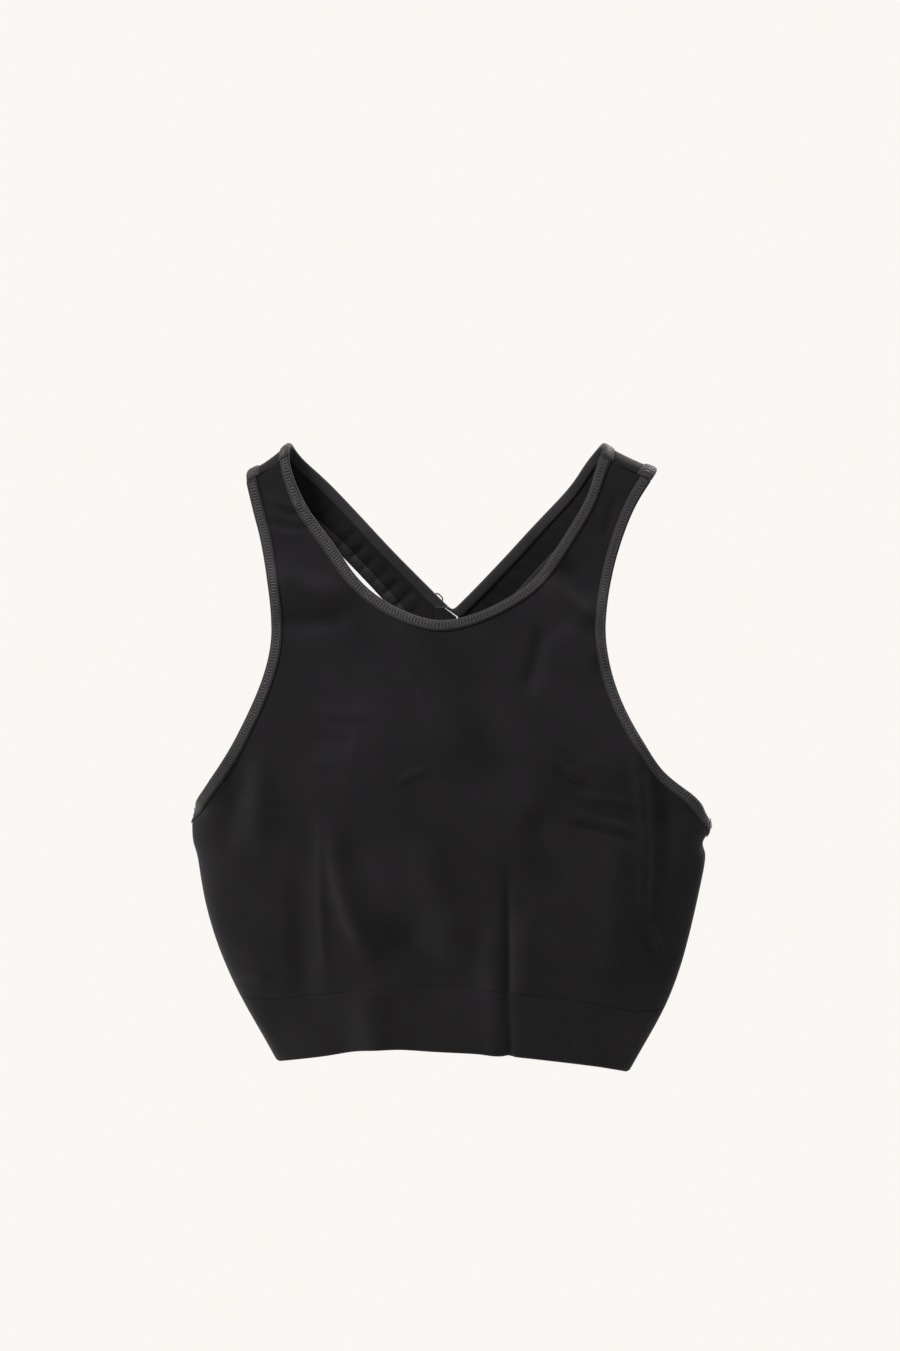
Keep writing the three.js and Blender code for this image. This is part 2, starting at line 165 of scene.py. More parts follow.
def half_width(x, level):
    """Half the width of the section that passes through a point, which tilts with the hem and shoulder."""
    share = (level - hem_level(x)) / (fold_axis(x) - hem_level(x))
    return side_half(-HEM_DROP + share * (fold_axis(BUST_HALF) + HEM_DROP))


def along_of(x, level):
    """Where a point seen from the front at x lies round the cloth."""
    half = half_width(x, level)
    turn = np.arcsin(np.clip(np.abs(x) / half, 0, 1))
    return np.sign(x) * half * np.interp(turn, TURNS, ROUND)


def side_along(level):
    """The side fold's place round the cloth."""
    x = np.full_like(np.asarray(level, float), BUST_HALF)
    for _ in range(ROUNDS):
        x = half_width(x, level)
    return x * SIDE_SHARE


def level_of(x, up):
    """Height of a point up the cloth, level with the fold's axis while it goes over the fold."""
    past = np.maximum(up - fold_axis(x) - PI * FOLD_RADIUS, 0)
    return np.where(up < fold_axis(x), up, fold_axis(x) - past)


def smooth_cloth(side, along, up):
    """The cloth without its creases, as it hangs from the hanger."""
    along, up = np.broadcast_arrays(np.asarray(along, float), np.asarray(up, float))
    x = along / FIRST_SHARE
    for _ in range(ROUNDS):
        level = level_of(x, up)
        half = half_width(x, level)
        turn = np.interp(np.abs(along) / half, ROUND, TURNS)
        x = np.sign(along) * half * np.sin(turn)
    level = level_of(x, up)
    over = np.clip((up - fold_axis(x)) / FOLD_RADIUS, 0, PI)
    power = squareness(level)
    taper = np.maximum(0, 1 - np.sin(turn) ** power) ** (1 / power)
    near = np.where(side == FRONT, front_depth(level), back_depth(level))
    far = np.where(side == FRONT, back_depth(level), front_depth(level))
    depth = np.where(over >= PI, far, near)
    y = side * depth * taper * np.cos(over)
    z = level + FOLD_RADIUS * np.sin(over)
    lower = np.clip(-z / UNDERARM_DROP, 0, 1)
    in_front = np.clip(0.5 - y / (2 * CHEST_DEPTH), 0, 1)
    x, z = pulled(x + lean_at(z) * in_front, z - SKEW * x * lower, in_front)
    return np.stack([x, y, z], axis=-1)


# ------------------------------------------------------------------------------ creases

# Each crease of the front: its ends and a middle that bows it, seen from the front, its half width and
# its height, which is below 0 for a valley.
FRONT_CREASES = [
    # from the cups down to the hem
    ((-70, -198), (-73, -245), (-38, -306), 7.5, 3.4),
    ((-76, -190), (-79, -260), (-72, -312), 3.2, 1.0),
    ((-50, -292), (-46, -330), (-42, -362), 12.0, 3.4),
    ((-90, -220), (-90, -270), (-84, -332), 8.0, -1.8),
    ((-39, -260), (-26, -306), (42, -314), 14.0, -5.0),
    ((-14, -203), (-16, -262), (16, -284), 13.0, 3.2),
    ((32, -228), (31, -290), (33, -362), 2.6, -2.2),
    ((23, -246), (22, -300), (24, -362), 6.0, 1.3),
    ((41, -258), (42, -290), (42, -316), 6.0, 1.5),
    ((93, -195), (97, -262), (90, -322), 12.0, 3.2),
    ((100, -150), (118, -200), (107, -302), 4.5, 2.2),
    ((112, -162), (129, -200), (122, -262), 9.0, -2.8),
    ((108, -262), (120, -282), (128, -297), 2.6, 1.5),
    ((104, -267), (114, -288), (124, -304), 3.0, -1.2),
    ((-136, -300), (-120, -304), (-102, -300), 4.0, 1.4),
    ((-122, -158), (-125, -200), (-137, -238), 9.0, -1.9),
    ((-110, -165), (-112, -200), (-112, -242), 7.0, 1.0),
    # small wrinkles over the cups
    ((52, -168), (66, -184), (80, -188), 2.3, 1.5),
    ((56, -175), (68, -191), (82, -194), 2.3, -1.1),
    ((62, -205), (84, -209), (110, -219), 2.5, 1.5),
    ((64, -211), (86, -215), (108, -225), 2.7, -1.3),
    ((70, -196), (92, -197), (110, -203), 2.6, 1.0),
    ((68, -178), (90, -176), (106, -186), 4.0, 0.9),
    ((-84, -156), (-66, -173), (-56, -158), 3.6, -0.9),
    ((-86, -178), (-70, -171), (-54, -185), 3.6, 0.9),
    ((-60, -154), (-54, -166), (-60, -178), 3.4, 0.5),
    ((-36, -191), (-26, -182), (-12, -182), 2.8, 1.1),
    ((-84, -146), (-62, -150), (-42, -147), 4.0, 1.0),
    # between the cups and up to the straps
    ((4, -106), (16, -165), (47, -206), 12.0, -3.2),
    ((44, -198), (54, -225), (66, -264), 10.0, -2.4),
    ((-112, -64), (-86, -78), (-52, -80), 8.0, 3.0),
    ((-108, -92), (-82, -98), (-54, -92), 6.0, -2.0),
    ((-48, -97), (-28, -122), (-10, -142), 1.9, 1.1),
    ((-26, -120), (-14, -135), (-8, -146), 2.6, -1.1),
    ((50, -68), (66, -84), (90, -99), 6.0, 2.4),
    ((62, -56), (74, -72), (88, -86), 7.0, -1.8),
    ((60, -97), (76, -106), (88, -126), 6.0, 2.0),
    ((54, -92), (50, -115), (40, -144), 5.0, -1.8),
    ((-112, -19), (-98, -29), (-84, -27), 2.5, 1.2),
    ((-112, -28), (-97, -38), (-82, -36), 2.5, 1.2),
    ((-110, -38), (-98, -46), (-84, -44), 3.2, 1.0),
    ((112, -22), (104, -42), (98, -70), 3.0, 1.0),
    ((96, -16), (93, -34), (86, -52), 3.0, -0.9),
]
CREASES_OF_THE_BACK = [
    ((-50, -215), (-46, -290), (-50, -362), 13.0, 3.2),
    ((-4, -200), (-2, -290), (-6, -362), 12.0, -3.6),
    ((46, -210), (48, -290), (42, -362), 12.0, 3.2),
    ((84, -240), (80, -290), (84, -362), 5.0, -2.0),
    ((-88, -230), (-84, -300), (-82, -362), 4.5, -2.0),
    ((18, -132), (52, -168), (104, -196), 7.0, 2.0),
    ((-18, -134), (-50, -166), (-104, -192), 7.0, 2.0),
    ((14, -158), (44, -188), (92, -214), 6.0, -1.8),
    ((-60, -206), (0, -218), (62, -208), 6.0, -1.6),
    ((-16, -112), (0, -118), (16, -110), 4.0, 1.0),
    ((-18, -140), (2, -150), (20, -140), 3.0, -1.0),
]
RUFFLES = 11
RUFFLE_START, RUFFLE_PITCH = 0.12, 0.075  # shares of the strap's length
RUFFLE_WIDTH = 1.9


def strap_ruffles():
    """Short ruffles across the back straps, where the binding draws the cloth in."""
    ruffles = []
    for step in range(RUFFLES):
        share = RUFFLE_START + RUFFLE_PITCH * step
        reach = 7.5 + 1.5 * math.sin(2.4 * step)
        for sign in (-1, 1):
            x, z = sign * (14 + 88 * share), -100 + 96 * share
            start, end = [(x + k * sign * reach, z - k * reach * 0.9) for k in (-1, 1)]
            height = 0.75 + 0.3 * math.sin(1.7 * step + sign)
            ruffles.append((start, (x + 1.5, z + 1), end, RUFFLE_WIDTH, height))
    return ruffles


BACK_CREASES = CREASES_OF_THE_BACK + strap_ruffles()
# Slow swells of the whole cloth: their beats across and down, their start and their height.
SWELLS = [
    (0.071, 0.043, 0.3, 0.4),
    (-0.052, 0.083, 1.9, 0.35),
    (0.118, -0.06, 4.1, 0.2),
    (0.16, 0.13, 2.2, 0.12),
]
CREASE_STEPS = 12
CREASE_END = 3  # a crease fades over one part in this many of its length
NARROW = 5.0
NARROW_GAIN = 1.2
BROAD_GAIN = 1.5


def crease_height(x, z, crease):
    """A soft ridge along a bowed line that fades out at its ends, but not at the hem."""
    start, middle, end, width, height = crease
    reach = 3 * width
    low = np.minimum(np.minimum(start, middle), end) - reach
    high = np.maximum(np.maximum(start, middle), end) + reach
    near = (x > low[0]) & (x < high[0]) & (z > low[1]) & (z < high[1])
    px, pz = x[near], z[near]
    best = np.full(px.shape, 1e9)
    at = np.zeros(px.shape)
    s = np.linspace(0, 1, CREASE_STEPS + 1)[:, None]
    line = (1 - s) ** 2 * np.array(start) + 2 * s * (1 - s) * np.array(middle) + s * s * np.array(end)
    for k, (a, b) in enumerate(zip(line[:-1], line[1:])):
        run = b - a
        share = np.clip(((px - a[0]) * run[0] + (pz - a[1]) * run[1]) / (run @ run), 0, 1)
        away = np.hypot(px - a[0] - share * run[0], pz - a[1] - share * run[1])
        at = np.where(away < best, (k + share) / CREASE_STEPS, at)
        best = np.minimum(best, away)
    fade_in = np.clip(at * CREASE_END, 0, 1)
    fade_out = 1 if end[1] < -HEM_DROP else np.clip((1 - at) * CREASE_END, 0, 1)
    fade = fade_in * fade_in * (3 - 2 * fade_in) * fade_out * fade_out * (3 - 2 * fade_out)
    total = np.zeros(x.shape)
    total[near] = height * fade * np.exp(-((best / width) ** 2))
    return total


# Where the hung cloth is drawn aside: the place seen from the front, its reach, the way it goes, and
# whether the back goes with the front.
PULLS = [
    ((-44, -348), (22, 34), (0, 3.6), True),
    ((-150, -262), (60, 46), (-4.2, 0), True),
    ((144, -203), (26, 18), (2.5, 4.5), True),
    ((-90, 4), (15, 20), (-4.5, 1.0), True),
    ((90, 0), (16, 22), (-4.5, 1.0), True),
    ((121, -8), (12, 15), (2.2, 1.6), True),
    ((-70, -46), (26, 24), (5.0, 2.0), False),
    ((12, -78), (36, 24), (3.2, -1.2), False),
    ((46, -66), (24, 22), (2.8, -2.4), False),
    ((-106, -104), (24, 34), (2.4, 0), False),
    # the ends of the armholes' bindings, which draw the sides in and leave a lump with a notch below
    ((-156, -206), (10, 5.5), (3.6, 0), True),
    ((-155, -224), (14, 7), (-1.3, 0), True),
    ((153, -211), (10, 5), (-2.0, 0), True),
    ((152, -225.5), (12, 4.5), (-3.0, 0), True),
    ((152, -222), (20, 14), (-0.9, 0), True),
]


def pulled(x, z, in_front):
    """A point's place after the pulls, most of which move both sides of the top."""
    shift_x, shift_z = np.zeros(x.shape), np.zeros(x.shape)
    for (at_x, at_z), (reach_x, reach_z), (to_x, to_z), both in PULLS:
        share = np.exp(-(((x - at_x) / reach_x) ** 2) - ((z - at_z) / reach_z) ** 2)
        if not both:
            share = share * in_front
        shift_x += to_x * share
        shift_z += to_z * share
    return x + shift_x, z + shift_z


SHOULDER_FREE = (6, 16)  # no creases above this drop, and all of them this much below it
SIDE_FREE = 22  # creases come up over this distance from the side fold


def creases(side, spots, stiff=0.0):
    """How far the cloth stands out from its smooth shape; stiff cloth has no narrow creases."""
    x, z = spots[..., 0], spots[..., 2]
    total = np.zeros(x.shape)
    for across, down, start, size in SWELLS:
        total += size * np.sin(across * x + down * z + start * (2 + side))
    for crease in FRONT_CREASES if side == FRONT else BACK_CREASES:
        narrow = crease[3] < NARROW
        total += crease_height(x, z, crease) * ((1 - stiff) * NARROW_GAIN if narrow else BROAD_GAIN)
    below_shoulder = np.clip((-z - SHOULDER_FREE[0]) / SHOULDER_FREE[1], 0, 1)
    from_side = np.clip((side_half(z) - np.abs(x - lean_at(z))) / SIDE_FREE, 0, 1)
    return total * below_shoulder * from_side * from_side * (3 - 2 * from_side)


CHART_STEP = 0.3  # between the points that give the cloth's slope


def cloth(side, along, up, inset=0.0, stiff=0.0):
    """Points of the hanging cloth, set inwards from its outer face."""
    spots = smooth_cloth(side, along, up)
    step = CHART_STEP
    across = smooth_cloth(side, along + step, up) - smooth_cloth(side, along - step, up)
    upward = smooth_cloth(side, along, up + step) - smooth_cloth(side, along, up - step)
    outward = np.cross(across, upward) * -side
    outward /= np.maximum(np.linalg.norm(outward, axis=-1, keepdims=True), 1e-9)
    return spots + outward * (creases(side, spots, stiff) - inset)[..., None]


# ------------------------------------------------------------------------------ edges of the cloth

END_REACH = 9.0  # over which a binding's end is turned to meet the seam
LEAST_SQUARE = 0.35  # a turned end is lengthened by no more than one part in this
SHOULDER_SLOPE = math.tan(HANGER_SLOPE)
PAST_SIDE = 1.03  # an armhole's curve starts just past the side fold, and is cut there
SIDE_CLEAR = 0.4  # left between the cut end and the fold
EDGE_STEP = 1.0
OVER_REACH = 40.0  # of the front's edge that is carried over the fold to shape the back's
JOIN_GAP = 6.0  # left between the two for the softening to bridge
OVER_ROUNDS, FRONT_ROUNDS, NECK_ROUNDS, ARMHOLE_ROUNDS = 30, 12, 8, 6  # of softening


def spaced(path, step):
    """The path's points again, evenly spaced."""
    path = np.asarray(path, float)
    run = np.concatenate([[0], np.cumsum(np.linalg.norm(np.diff(path, axis=0), axis=1))])
    count = max(2, round(run[-1] / step) + 1)
    at = np.linspace(0, run[-1], count)
    return np.stack([np.interp(at, run, path[:, k]) for k in (0, 1)], axis=1)


def softened(path, rounds):
    """The path with its corners eased, and its ends left where they are."""
    path = path.copy()
    for _ in range(rounds):
        path[1:-1] = (path[:-2] + 2 * path[1:-1] + path[2:]) / 4
    return path


def inward_normals(path):
    """Unit normals to the left of a path on the chart."""
    run = np.gradient(path, axis=0)
    run /= np.linalg.norm(run, axis=1, keepdims=True)
    return np.stack([-run[:, 1], run[:, 0]], axis=1)


def inset_runs(path, ends):
    """Which way the binding's width runs from each point of an edge, turned into the seams at its ends."""
    normals = inward_normals(path)
    run = np.concatenate([[0], np.cumsum(np.linalg.norm(np.diff(path, axis=0), axis=1))])
    for away, seam in zip((run, run[-1] - run), ends):
        share = np.clip(1 - away / END_REACH, 0, 1)[:, None]
        share = share * share * (3 - 2 * share)
        normals = normals * (1 - share) + np.array(seam) / np.hypot(*seam) * share
    square = inward_normals(path)
    return normals / np.maximum((normals * square).sum(axis=1, keepdims=True), LEAST_SQUARE)


def neck_curve(drop, power, points=90):
    """Half a neck edge seen from the front, from its centre to the fold's top."""
    turn = np.linspace(0, PI / 2, points)
    x = INNER_HALF * np.sin(turn) ** (2 / power)
    z = -drop + (drop + fold_top(INNER_HALF)) * (1 - np.cos(turn) ** (2 / power))
    return x, z


def armhole_curve(narrow_half, narrow_drop, low_power, high_power, points=90):
    """An armhole edge seen from the front, from the side fold to the fold's top."""
    fall = np.linspace(PAST_SIDE, 0, points)
    low_x = narrow_half + (UNDERARM_HALF - narrow_half) * fall**low_power
    low_z = -narrow_drop - fall * (UNDERARM_DROP - narrow_drop)
    rise = np.linspace(0, 1, points)[1:]
    high_x = narrow_half + (OUTER_HALF - narrow_half) * rise**high_power
    high_z = -narrow_drop + rise * (narrow_drop + fold_top(OUTER_HALF))
    return np.concatenate([low_x, high_x]), np.concatenate([low_z, high_z])


def up_of(x, z):
    """Distance up the cloth of a point seen at x and z, on the near side of the fold."""
    raised = np.clip((z - fold_axis(x)) / FOLD_RADIUS, 0, 1)
    return np.where(z < fold_axis(x), z, fold_axis(x) + FOLD_RADIUS * np.arcsin(raised))


def on_chart(x, z):
    """Points seen from the front, on the chart of the side they lie on."""
    up = up_of(x, z)
    return np.stack([along_of(x, np.minimum(up, fold_axis(x))), up], axis=1)


def ended_at_side(path):
    """The path, started where it crosses the side fold."""
    kept = path[:, 0] < side_along(path[:, 1]) - SIDE_CLEAR
    first = np.argmax(kept)
    low = path[first, 1] - 2 * SIDE_CLEAR
    return np.vstack([[side_along(low), low], path[first:]])


def seam_up(side):
    """How far up the chart the shoulder seam lies at the strap's middle."""
    top = fold_top(STRAP_MID)
    here = up_of(STRAP_MID, top - SEAM_DROP)
    if side == FRONT:
        return here
    return fold_axis(STRAP_MID) + PI * FOLD_RADIUS + (fold_axis(STRAP_MID) - here)


def over_fold(x, z):
    """Front points, seen from the front, as the back's chart reaches them over the fold."""
    front = on_chart(x, z)
    return np.stack([front[:, 0], 2 * fold_axis(x) + PI * FOLD_RADIUS - front[:, 1]], axis=1)


def seam_line(side, along):
    """How far up the chart the sloping shoulder seam lies."""
    return seam_up(side) - fold_axis(STRAP_MID) + fold_axis(np.abs(along))


def whole_edge(back_curve, front_curve):
    """A back edge carried over the fold and down the front, on the back's chart."""
    x, z = front_curve
    high = z > fold_top(x) - OVER_REACH
    back = on_chart(*back_curve)
    over = over_fold(x[high], z[high])[::-1]
    back = back[back[:, 1] < fold_axis(np.abs(back[:, 0])) + FOLD_RADIUS]
    over = over[over[:, 1] > back[-1, 1] + JOIN_GAP]
    return softened(spaced(np.vstack([back, over]), EDGE_STEP), OVER_ROUNDS)


def ended_at_seam(path, side, gap=0.1):
    """The path, ended exactly at the shoulder seam."""
    beyond = path[:, 1] - seam_line(side, path[:, 0]) + gap
    last = np.argmax(beyond > 0)
    share = beyond[last - 1] / (beyond[last - 1] - beyond[last])
    end = path[last - 1] + (path[last] - path[last - 1]) * share
    return np.vstack([path[: last - 1], end])


def seen_from_front(path):
    """A path on the back's chart, turned into the front's chart past the fold."""
    return np.stack([path[:, 0], 2 * fold_axis(np.abs(path[:, 0])) + PI * FOLD_RADIUS - path[:, 1]], axis=1)


def mirrored(path):
    """The path on the other half of the chart, run the other way, with the cloth still to its left."""
    return path[::-1] * np.array([-1, 1])


def edge_paths():
    """Neck and right armhole edges on each side's chart, with the cloth to their left."""
    front_neck = neck_curve(NECK_DROP, NECK_POWER)
    front_armhole = armhole_curve(CHEST_HALF, CHEST_DROP, ARMHOLE_POWER, ARMHOLE_POWER)
    back_neck = neck_curve(BACK_NECK_DROP, BACK_NECK_POWER)
    back_armhole = armhole_curve(SPINE_HALF, SPINE_DROP, BACK_UNDERARM_POWER, BACK_STRAP_POWER)
    edges = {FRONT: [], BACK: []}
    for front, back in ((front_neck, back_neck), (front_armhole, back_armhole)):
        over = whole_edge(back, front)
        met = over[over[:, 1] > fold_axis(np.abs(over[:, 0])) + PI / 2 * FOLD_RADIUS]
        met = seen_from_front(met)[::-1]
        near = on_chart(*front)
        near = near[near[:, 1] < met[0, 1] - 2]
        near = softened(spaced(np.vstack([near, met]), EDGE_STEP), FRONT_ROUNDS)
        edges[FRONT].append(ended_at_seam(near, FRONT))
        edges[BACK].append(ended_at_seam(over, BACK))
    finished = {}
    for side, (half_neck, armhole) in edges.items():
        half_neck[0, 0] = 0
        whole_neck = np.vstack([mirrored(half_neck)[:-1], half_neck])
        whole_neck = softened(spaced(whole_neck, EDGE_STEP), NECK_ROUNDS)
        armhole = softened(spaced(ended_at_side(armhole), EDGE_STEP), ARMHOLE_ROUNDS)
        finished[side] = (whole_neck[::-1], armhole)
    return finished


EDGES = edge_paths()

# ------------------------------------------------------------------------------ meshes

CLOTH_ANGLE, TAPE_ANGLE, THREAD_ANGLE = 50, 60, 80  # degrees, below which an edge is shaded smooth


def new_piece(name, spots, faces, chart=None, smooth_angle=CLOTH_ANGLE):
    """A closed mesh from points in millimetres, with the flat cloth's chart as its UV map."""
    mesh = bpy.data.meshes.new(name)
    mesh.from_pydata((np.asarray(spots) * MM).tolist(), [], faces)
    shaped = bmesh.new()
    shaped.from_mesh(mesh)
    bmesh.ops.recalc_face_normals(shaped, faces=shaped.faces)
    if chart is not None:
        layer = shaped.loops.layers.uv.new("cloth")
        for face in shaped.faces:
            for loop in face.loops:
                loop[layer].uv = chart[loop.vert.index] * MM
    shaped.to_mesh(mesh)
    shaped.free()
    piece = bpy.data.objects.new(name, mesh)
    bpy.context.collection.objects.link(piece)
    bpy.ops.object.select_all(action="DESELECT")
    piece.select_set(True)
    bpy.context.view_layer.objects.active = piece
    bpy.ops.object.shade_smooth_by_angle(angle=math.radians(smooth_angle))
    piece.select_set(False)
    return piece


def inside(points, outline):
    """Which points lie within a closed outline."""
    x, y = points[:, 0], points[:, 1]
    within = np.zeros(len(points), bool)
    for (ax, ay), (bx, by) in zip(outline, np.roll(outline, -1, axis=0)):
        if ay == by:
            continue
        crossing = (ay > y) != (by > y)
        within ^= crossing & (x < (bx - ax) * (y - ay) / (by - ay) + ax)
    return within


def cut_piece(outline, step):
    """Even triangles that fill an outline on the chart."""
    low, high = outline.min(axis=0), outline.max(axis=0)
    rows = np.arange(low[1], high[1], step * 0.866)
    grid = [np.arange(low[0] + (k % 2) * step / 2, high[0], step) for k in range(len(rows))]
    points = np.vstack([np.stack([xs, np.full(len(xs), y)], axis=1) for xs, y in zip(grid, rows)])
    points = points[inside(points, outline)]
    clear = np.full(len(points), 1e9)
    for spot in outline:
        clear = np.minimum(clear, ((points - spot) ** 2).sum(axis=1))
    points = points[clear > (0.6 * step) ** 2]
    corners = [Vector(p) for p in np.vstack([outline, points])]
    count = len(outline)
    rim = [(k, (k + 1) % count) for k in range(count)]
    spots, _, faces, _, _, _ = geometry.delaunay_2d_cdt(corners, rim, [list(range(count))], 1, 1e-6)
    return np.array([tuple(p) for p in spots]), faces


def panel_sheet(name, side, outline, step, face, thickness, crown=0.0):
    """One ply of cloth with both its faces, cut to an outline on the chart."""
    chart, faces = cut_piece(outline, step)
    along, up = chart[:, 0], chart[:, 1]
    push = stiff = 0.0
    if crown:
        domed = cup_crown(smooth_cloth(side, along, up))
        push, stiff = crown * domed, np.clip(4 * domed, 0, 1)
    outer = cloth(side, along, up, face + push, stiff)
    inner = cloth(side, along, up, face + thickness + push, stiff)
    count = len(chart)
    edges = {}
    for tri in faces:
        for a, b in zip(tri, tri[1:] + tri[:1]):
            edges[(a, b)] = (b, a) not in edges
            if (b, a) in edges:
                edges[(b, a)] = False
    rim = [(a, b, b + count, a + count) for (a, b), alone in edges.items() if alone]
    back_faces = [tuple(v + count for v in reversed(tri)) for tri in faces]
    every_face = [*map(tuple, faces), *back_faces, *rim]
    return new_piece(name, np.vstack([outer, inner]), every_face, np.vstack([chart, chart]))


def joined_rings(rings, closed):
    """Faces between rings of points, in order, with flat ends where they don't close."""
    count, sides = len(rings), len(rings[0])
    faces = []
    for k in range(count if closed else count - 1):
        after = (k + 1) % count
        for s in range(sides):
            t = (s + 1) % sides
            faces.append((k * sides + s, k * sides + t, after * sides + t, after * sides + s))
    if not closed:
        faces.append(tuple(range(sides)))
        faces.append(tuple(reversed(range((count - 1) * sides, count * sides))))
    return faces


def swept(name, side, path, profile, ends, wave):
    """A closed section of (from the edge, above the cloth) points, carried along a path on the chart."""
    normals = inset_runs(path, ends)
    section = np.array(profile)
    count, sides = len(path), len(section)
    along = path[:, 0][:, None] + normals[:, 0][:, None] * section[:, 0]
    up = path[:, 1][:, None] + normals[:, 1][:, None] * section[:, 0]
    lift = np.broadcast_to(section[:, 1], (count, sides)) + wave(np.arange(count), section)
    rings = cloth(side, along, up, -lift)
    run_mm = np.concatenate([[0], np.cumsum(np.linalg.norm(np.diff(path, axis=0), axis=1))])
    around = np.concatenate([[0], np.cumsum(np.linalg.norm(np.diff(section, axis=0), axis=1))])
    chart = np.stack(np.meshgrid(run_mm, around, indexing="ij"), axis=-1).reshape(-1, 2)
    return new_piece(name, rings.reshape(-1, 3), joined_rings(rings, False), chart, TAPE_ANGLE)


# ------------------------------------------------------------------------------ materials


class Finish:
    """A material's nodes, laid out by short calls."""

    def __init__(self, name, roughness, sheen=0.0, sheen_roughness=0.5, specular=0.3):
        self.material = bpy.data.materials.new(name)
        self.material.use_nodes = True
        self.nodes = self.material.node_tree.nodes
        self.links = self.material.node_tree.links
        self.shader = self.nodes["Principled BSDF"]
        self.shader.inputs["Roughness"].default_value = roughness
        self.shader.inputs["Specular IOR Level"].default_value = specular
        self.shader.inputs["Sheen Weight"].default_value = sheen
        self.shader.inputs["Sheen Roughness"].default_value = sheen_roughness

    def node(self, kind, **settings):
        made = self.nodes.new(kind)
        for key, value in settings.items():
            setattr(made, key, value)
        return made

    def link(self, source, target):
        self.links.new(source, target)

    def math(self, operation, first, second=None):
        made = self.node("ShaderNodeMath", operation=operation)
        for socket, value in zip(made.inputs, (first, second)):
            if isinstance(value, (int, float)):
                socket.default_value = value
            elif value is not None:
                self.link(value, socket)
        return made.outputs[0]

    def noise(self, scale, detail=2.0, roughness=0.5):
        place = self.node("ShaderNodeTexCoord")
        made = self.node("ShaderNodeTexNoise")
        made.inputs["Scale"].default_value = scale
        made.inputs["Detail"].default_value = detail
        made.inputs["Roughness"].default_value = roughness
        self.link(place.outputs["Object"], made.inputs["Vector"])
        return made.outputs["Fac"]

    def chart(self):
        """The flat cloth's two directions, in metres."""
        place = self.node("ShaderNodeUVMap", uv_map="cloth")
        parts = self.node("ShaderNodeSeparateXYZ")
        self.link(place.outputs["UV"], parts.inputs[0])
        return parts.outputs["X"], parts.outputs["Y"]

    def cords(self, value, pitch):
        """Round ridges of the given pitch in metres, from 0 to 1."""
        return self.math("ABSOLUTE", self.math("SINE", self.math("MULTIPLY", value, PI / pitch)))

    def colour(self, stops, fac):
        """A base colour that runs between two (share, colour) stops."""
        ramp = self.node("ShaderNodeValToRGB")
        for stop, (share, shade) in zip(ramp.color_ramp.elements, stops):
            stop.position = share
            stop.color = (*shade, 1)
        self.link(fac, ramp.inputs["Fac"])
        self.link(ramp.outputs["Color"], self.shader.inputs["Base Color"])

    def bump(self, height, distance, strength=1.0, over=None):
        """A fine relief of the given depth in metres, over another one where there is one."""
        made = self.node("ShaderNodeBump")
        made.inputs["Distance"].default_value = distance
        made.inputs["Strength"].default_value = strength
        self.link(height, made.inputs["Height"])
        if over is not None:
            self.link(over, made.inputs["Normal"])
        self.link(made.outputs["Normal"], self.shader.inputs["Normal"])
        return made.outputs["Normal"]


def knit(name, dark, light, wale, course, depth, sheen):
    """Stretch knit: columns of stitches, each a little V, with a faint bloom of fibre ends."""
    finish = Finish(name, 0.9, sheen, 0.45, 0.06)
    across, up = finish.chart()
    half_wale = finish.math("PINGPONG", across, wale / 2)
    slanted = finish.math("ADD", up, finish.math("MULTIPLY", half_wale, 0.9))
    columns = finish.math("SINE", finish.math("MULTIPLY", half_wale, 2 * PI / wale))
    loops = finish.math("SINE", finish.math("MULTIPLY", slanted, 2 * PI / course))
    stitches = finish.math("MULTIPLY", finish.math("ABSOLUTE", loops), columns)
    fuzz = finish.noise(2600, 3.0, 0.7)
    height = finish.math("ADD", stitches, finish.math("MULTIPLY", fuzz, 0.5))
    coarse = finish.bump(finish.noise(70, 2.0), 0.0006, 0.35)
    finish.bump(height, depth, 0.7, over=coarse)
    patches = finish.math("MULTIPLY", finish.noise(22, 3.0, 0.55), 0.6)
    speckle = finish.math("MULTIPLY", fuzz, 0.4)
    finish.colour([(0.3, dark), (0.7, light)], finish.math("ADD", patches, speckle))
    return finish.material


def thread_finish(name, dark, light):
    """Spun thread, a little shinier than the cloth."""
    finish = Finish(name, 0.55, 0.15, 0.4, 0.4)
    finish.colour([(0.35, dark), (0.65, light)], finish.noise(1800, 2.0))
    finish.bump(finish.noise(3600, 2.0), 0.00012, 0.6)
    return finish.material


def binding_finish(name, dark, light):
    """Rib tape: fine cords that run across the tape, with painted shade that darkens the grooves between
    them.
    """
    finish = Finish(name, 0.85, 0.12, 0.4, 0.1)
    along, around = finish.chart()
    ribs = finish.cords(along, 0.00062)
    stitches = finish.cords(around, 0.0005)
    fuzz = finish.noise(2400, 3.0, 0.7)
    height = finish.math("ADD", ribs, finish.math("MULTIPLY", finish.math("ADD", stitches, fuzz), 0.35))
    finish.bump(height, 0.00016, 0.7)
    patches = finish.math("MULTIPLY", finish.noise(60, 3.0), 0.5)
    mottle = finish.math("ADD", patches, finish.math("MULTIPLY", fuzz, 0.25))
    # painted shade: the colour is darker where the ribs' relief is low, in the grooves
    shade = finish.math("ADD", mottle, finish.math("MULTIPLY", ribs, 0.2))
    finish.colour([(0.2, dark), (0.62, light)], shade)
    return finish.material


def elastic_finish():
    """Knitted elastic, with rubber cords that run its length, and painted shade that darkens the grooves
    between the cords.
    """
    finish = Finish("knitted elastic", 0.75, 0.1, 0.4, 0.3)
    around, up = finish.chart()
    cords = finish.cords(up, 0.0014)
    weave = finish.cords(around, 0.0008)
    finish.bump(finish.math("ADD", cords, finish.math("MULTIPLY", weave, 0.4)), 0.0003, 0.8)
    # painted shade: the colour follows the cords' relief, darker in the grooves between them
    finish.colour([(0.1, (0.012, 0.012, 0.013)), (0.9, (0.026, 0.025, 0.027))], cords)
    return finish.material


LABEL_EDGE = 0.06  # the pale line's share of the label's width


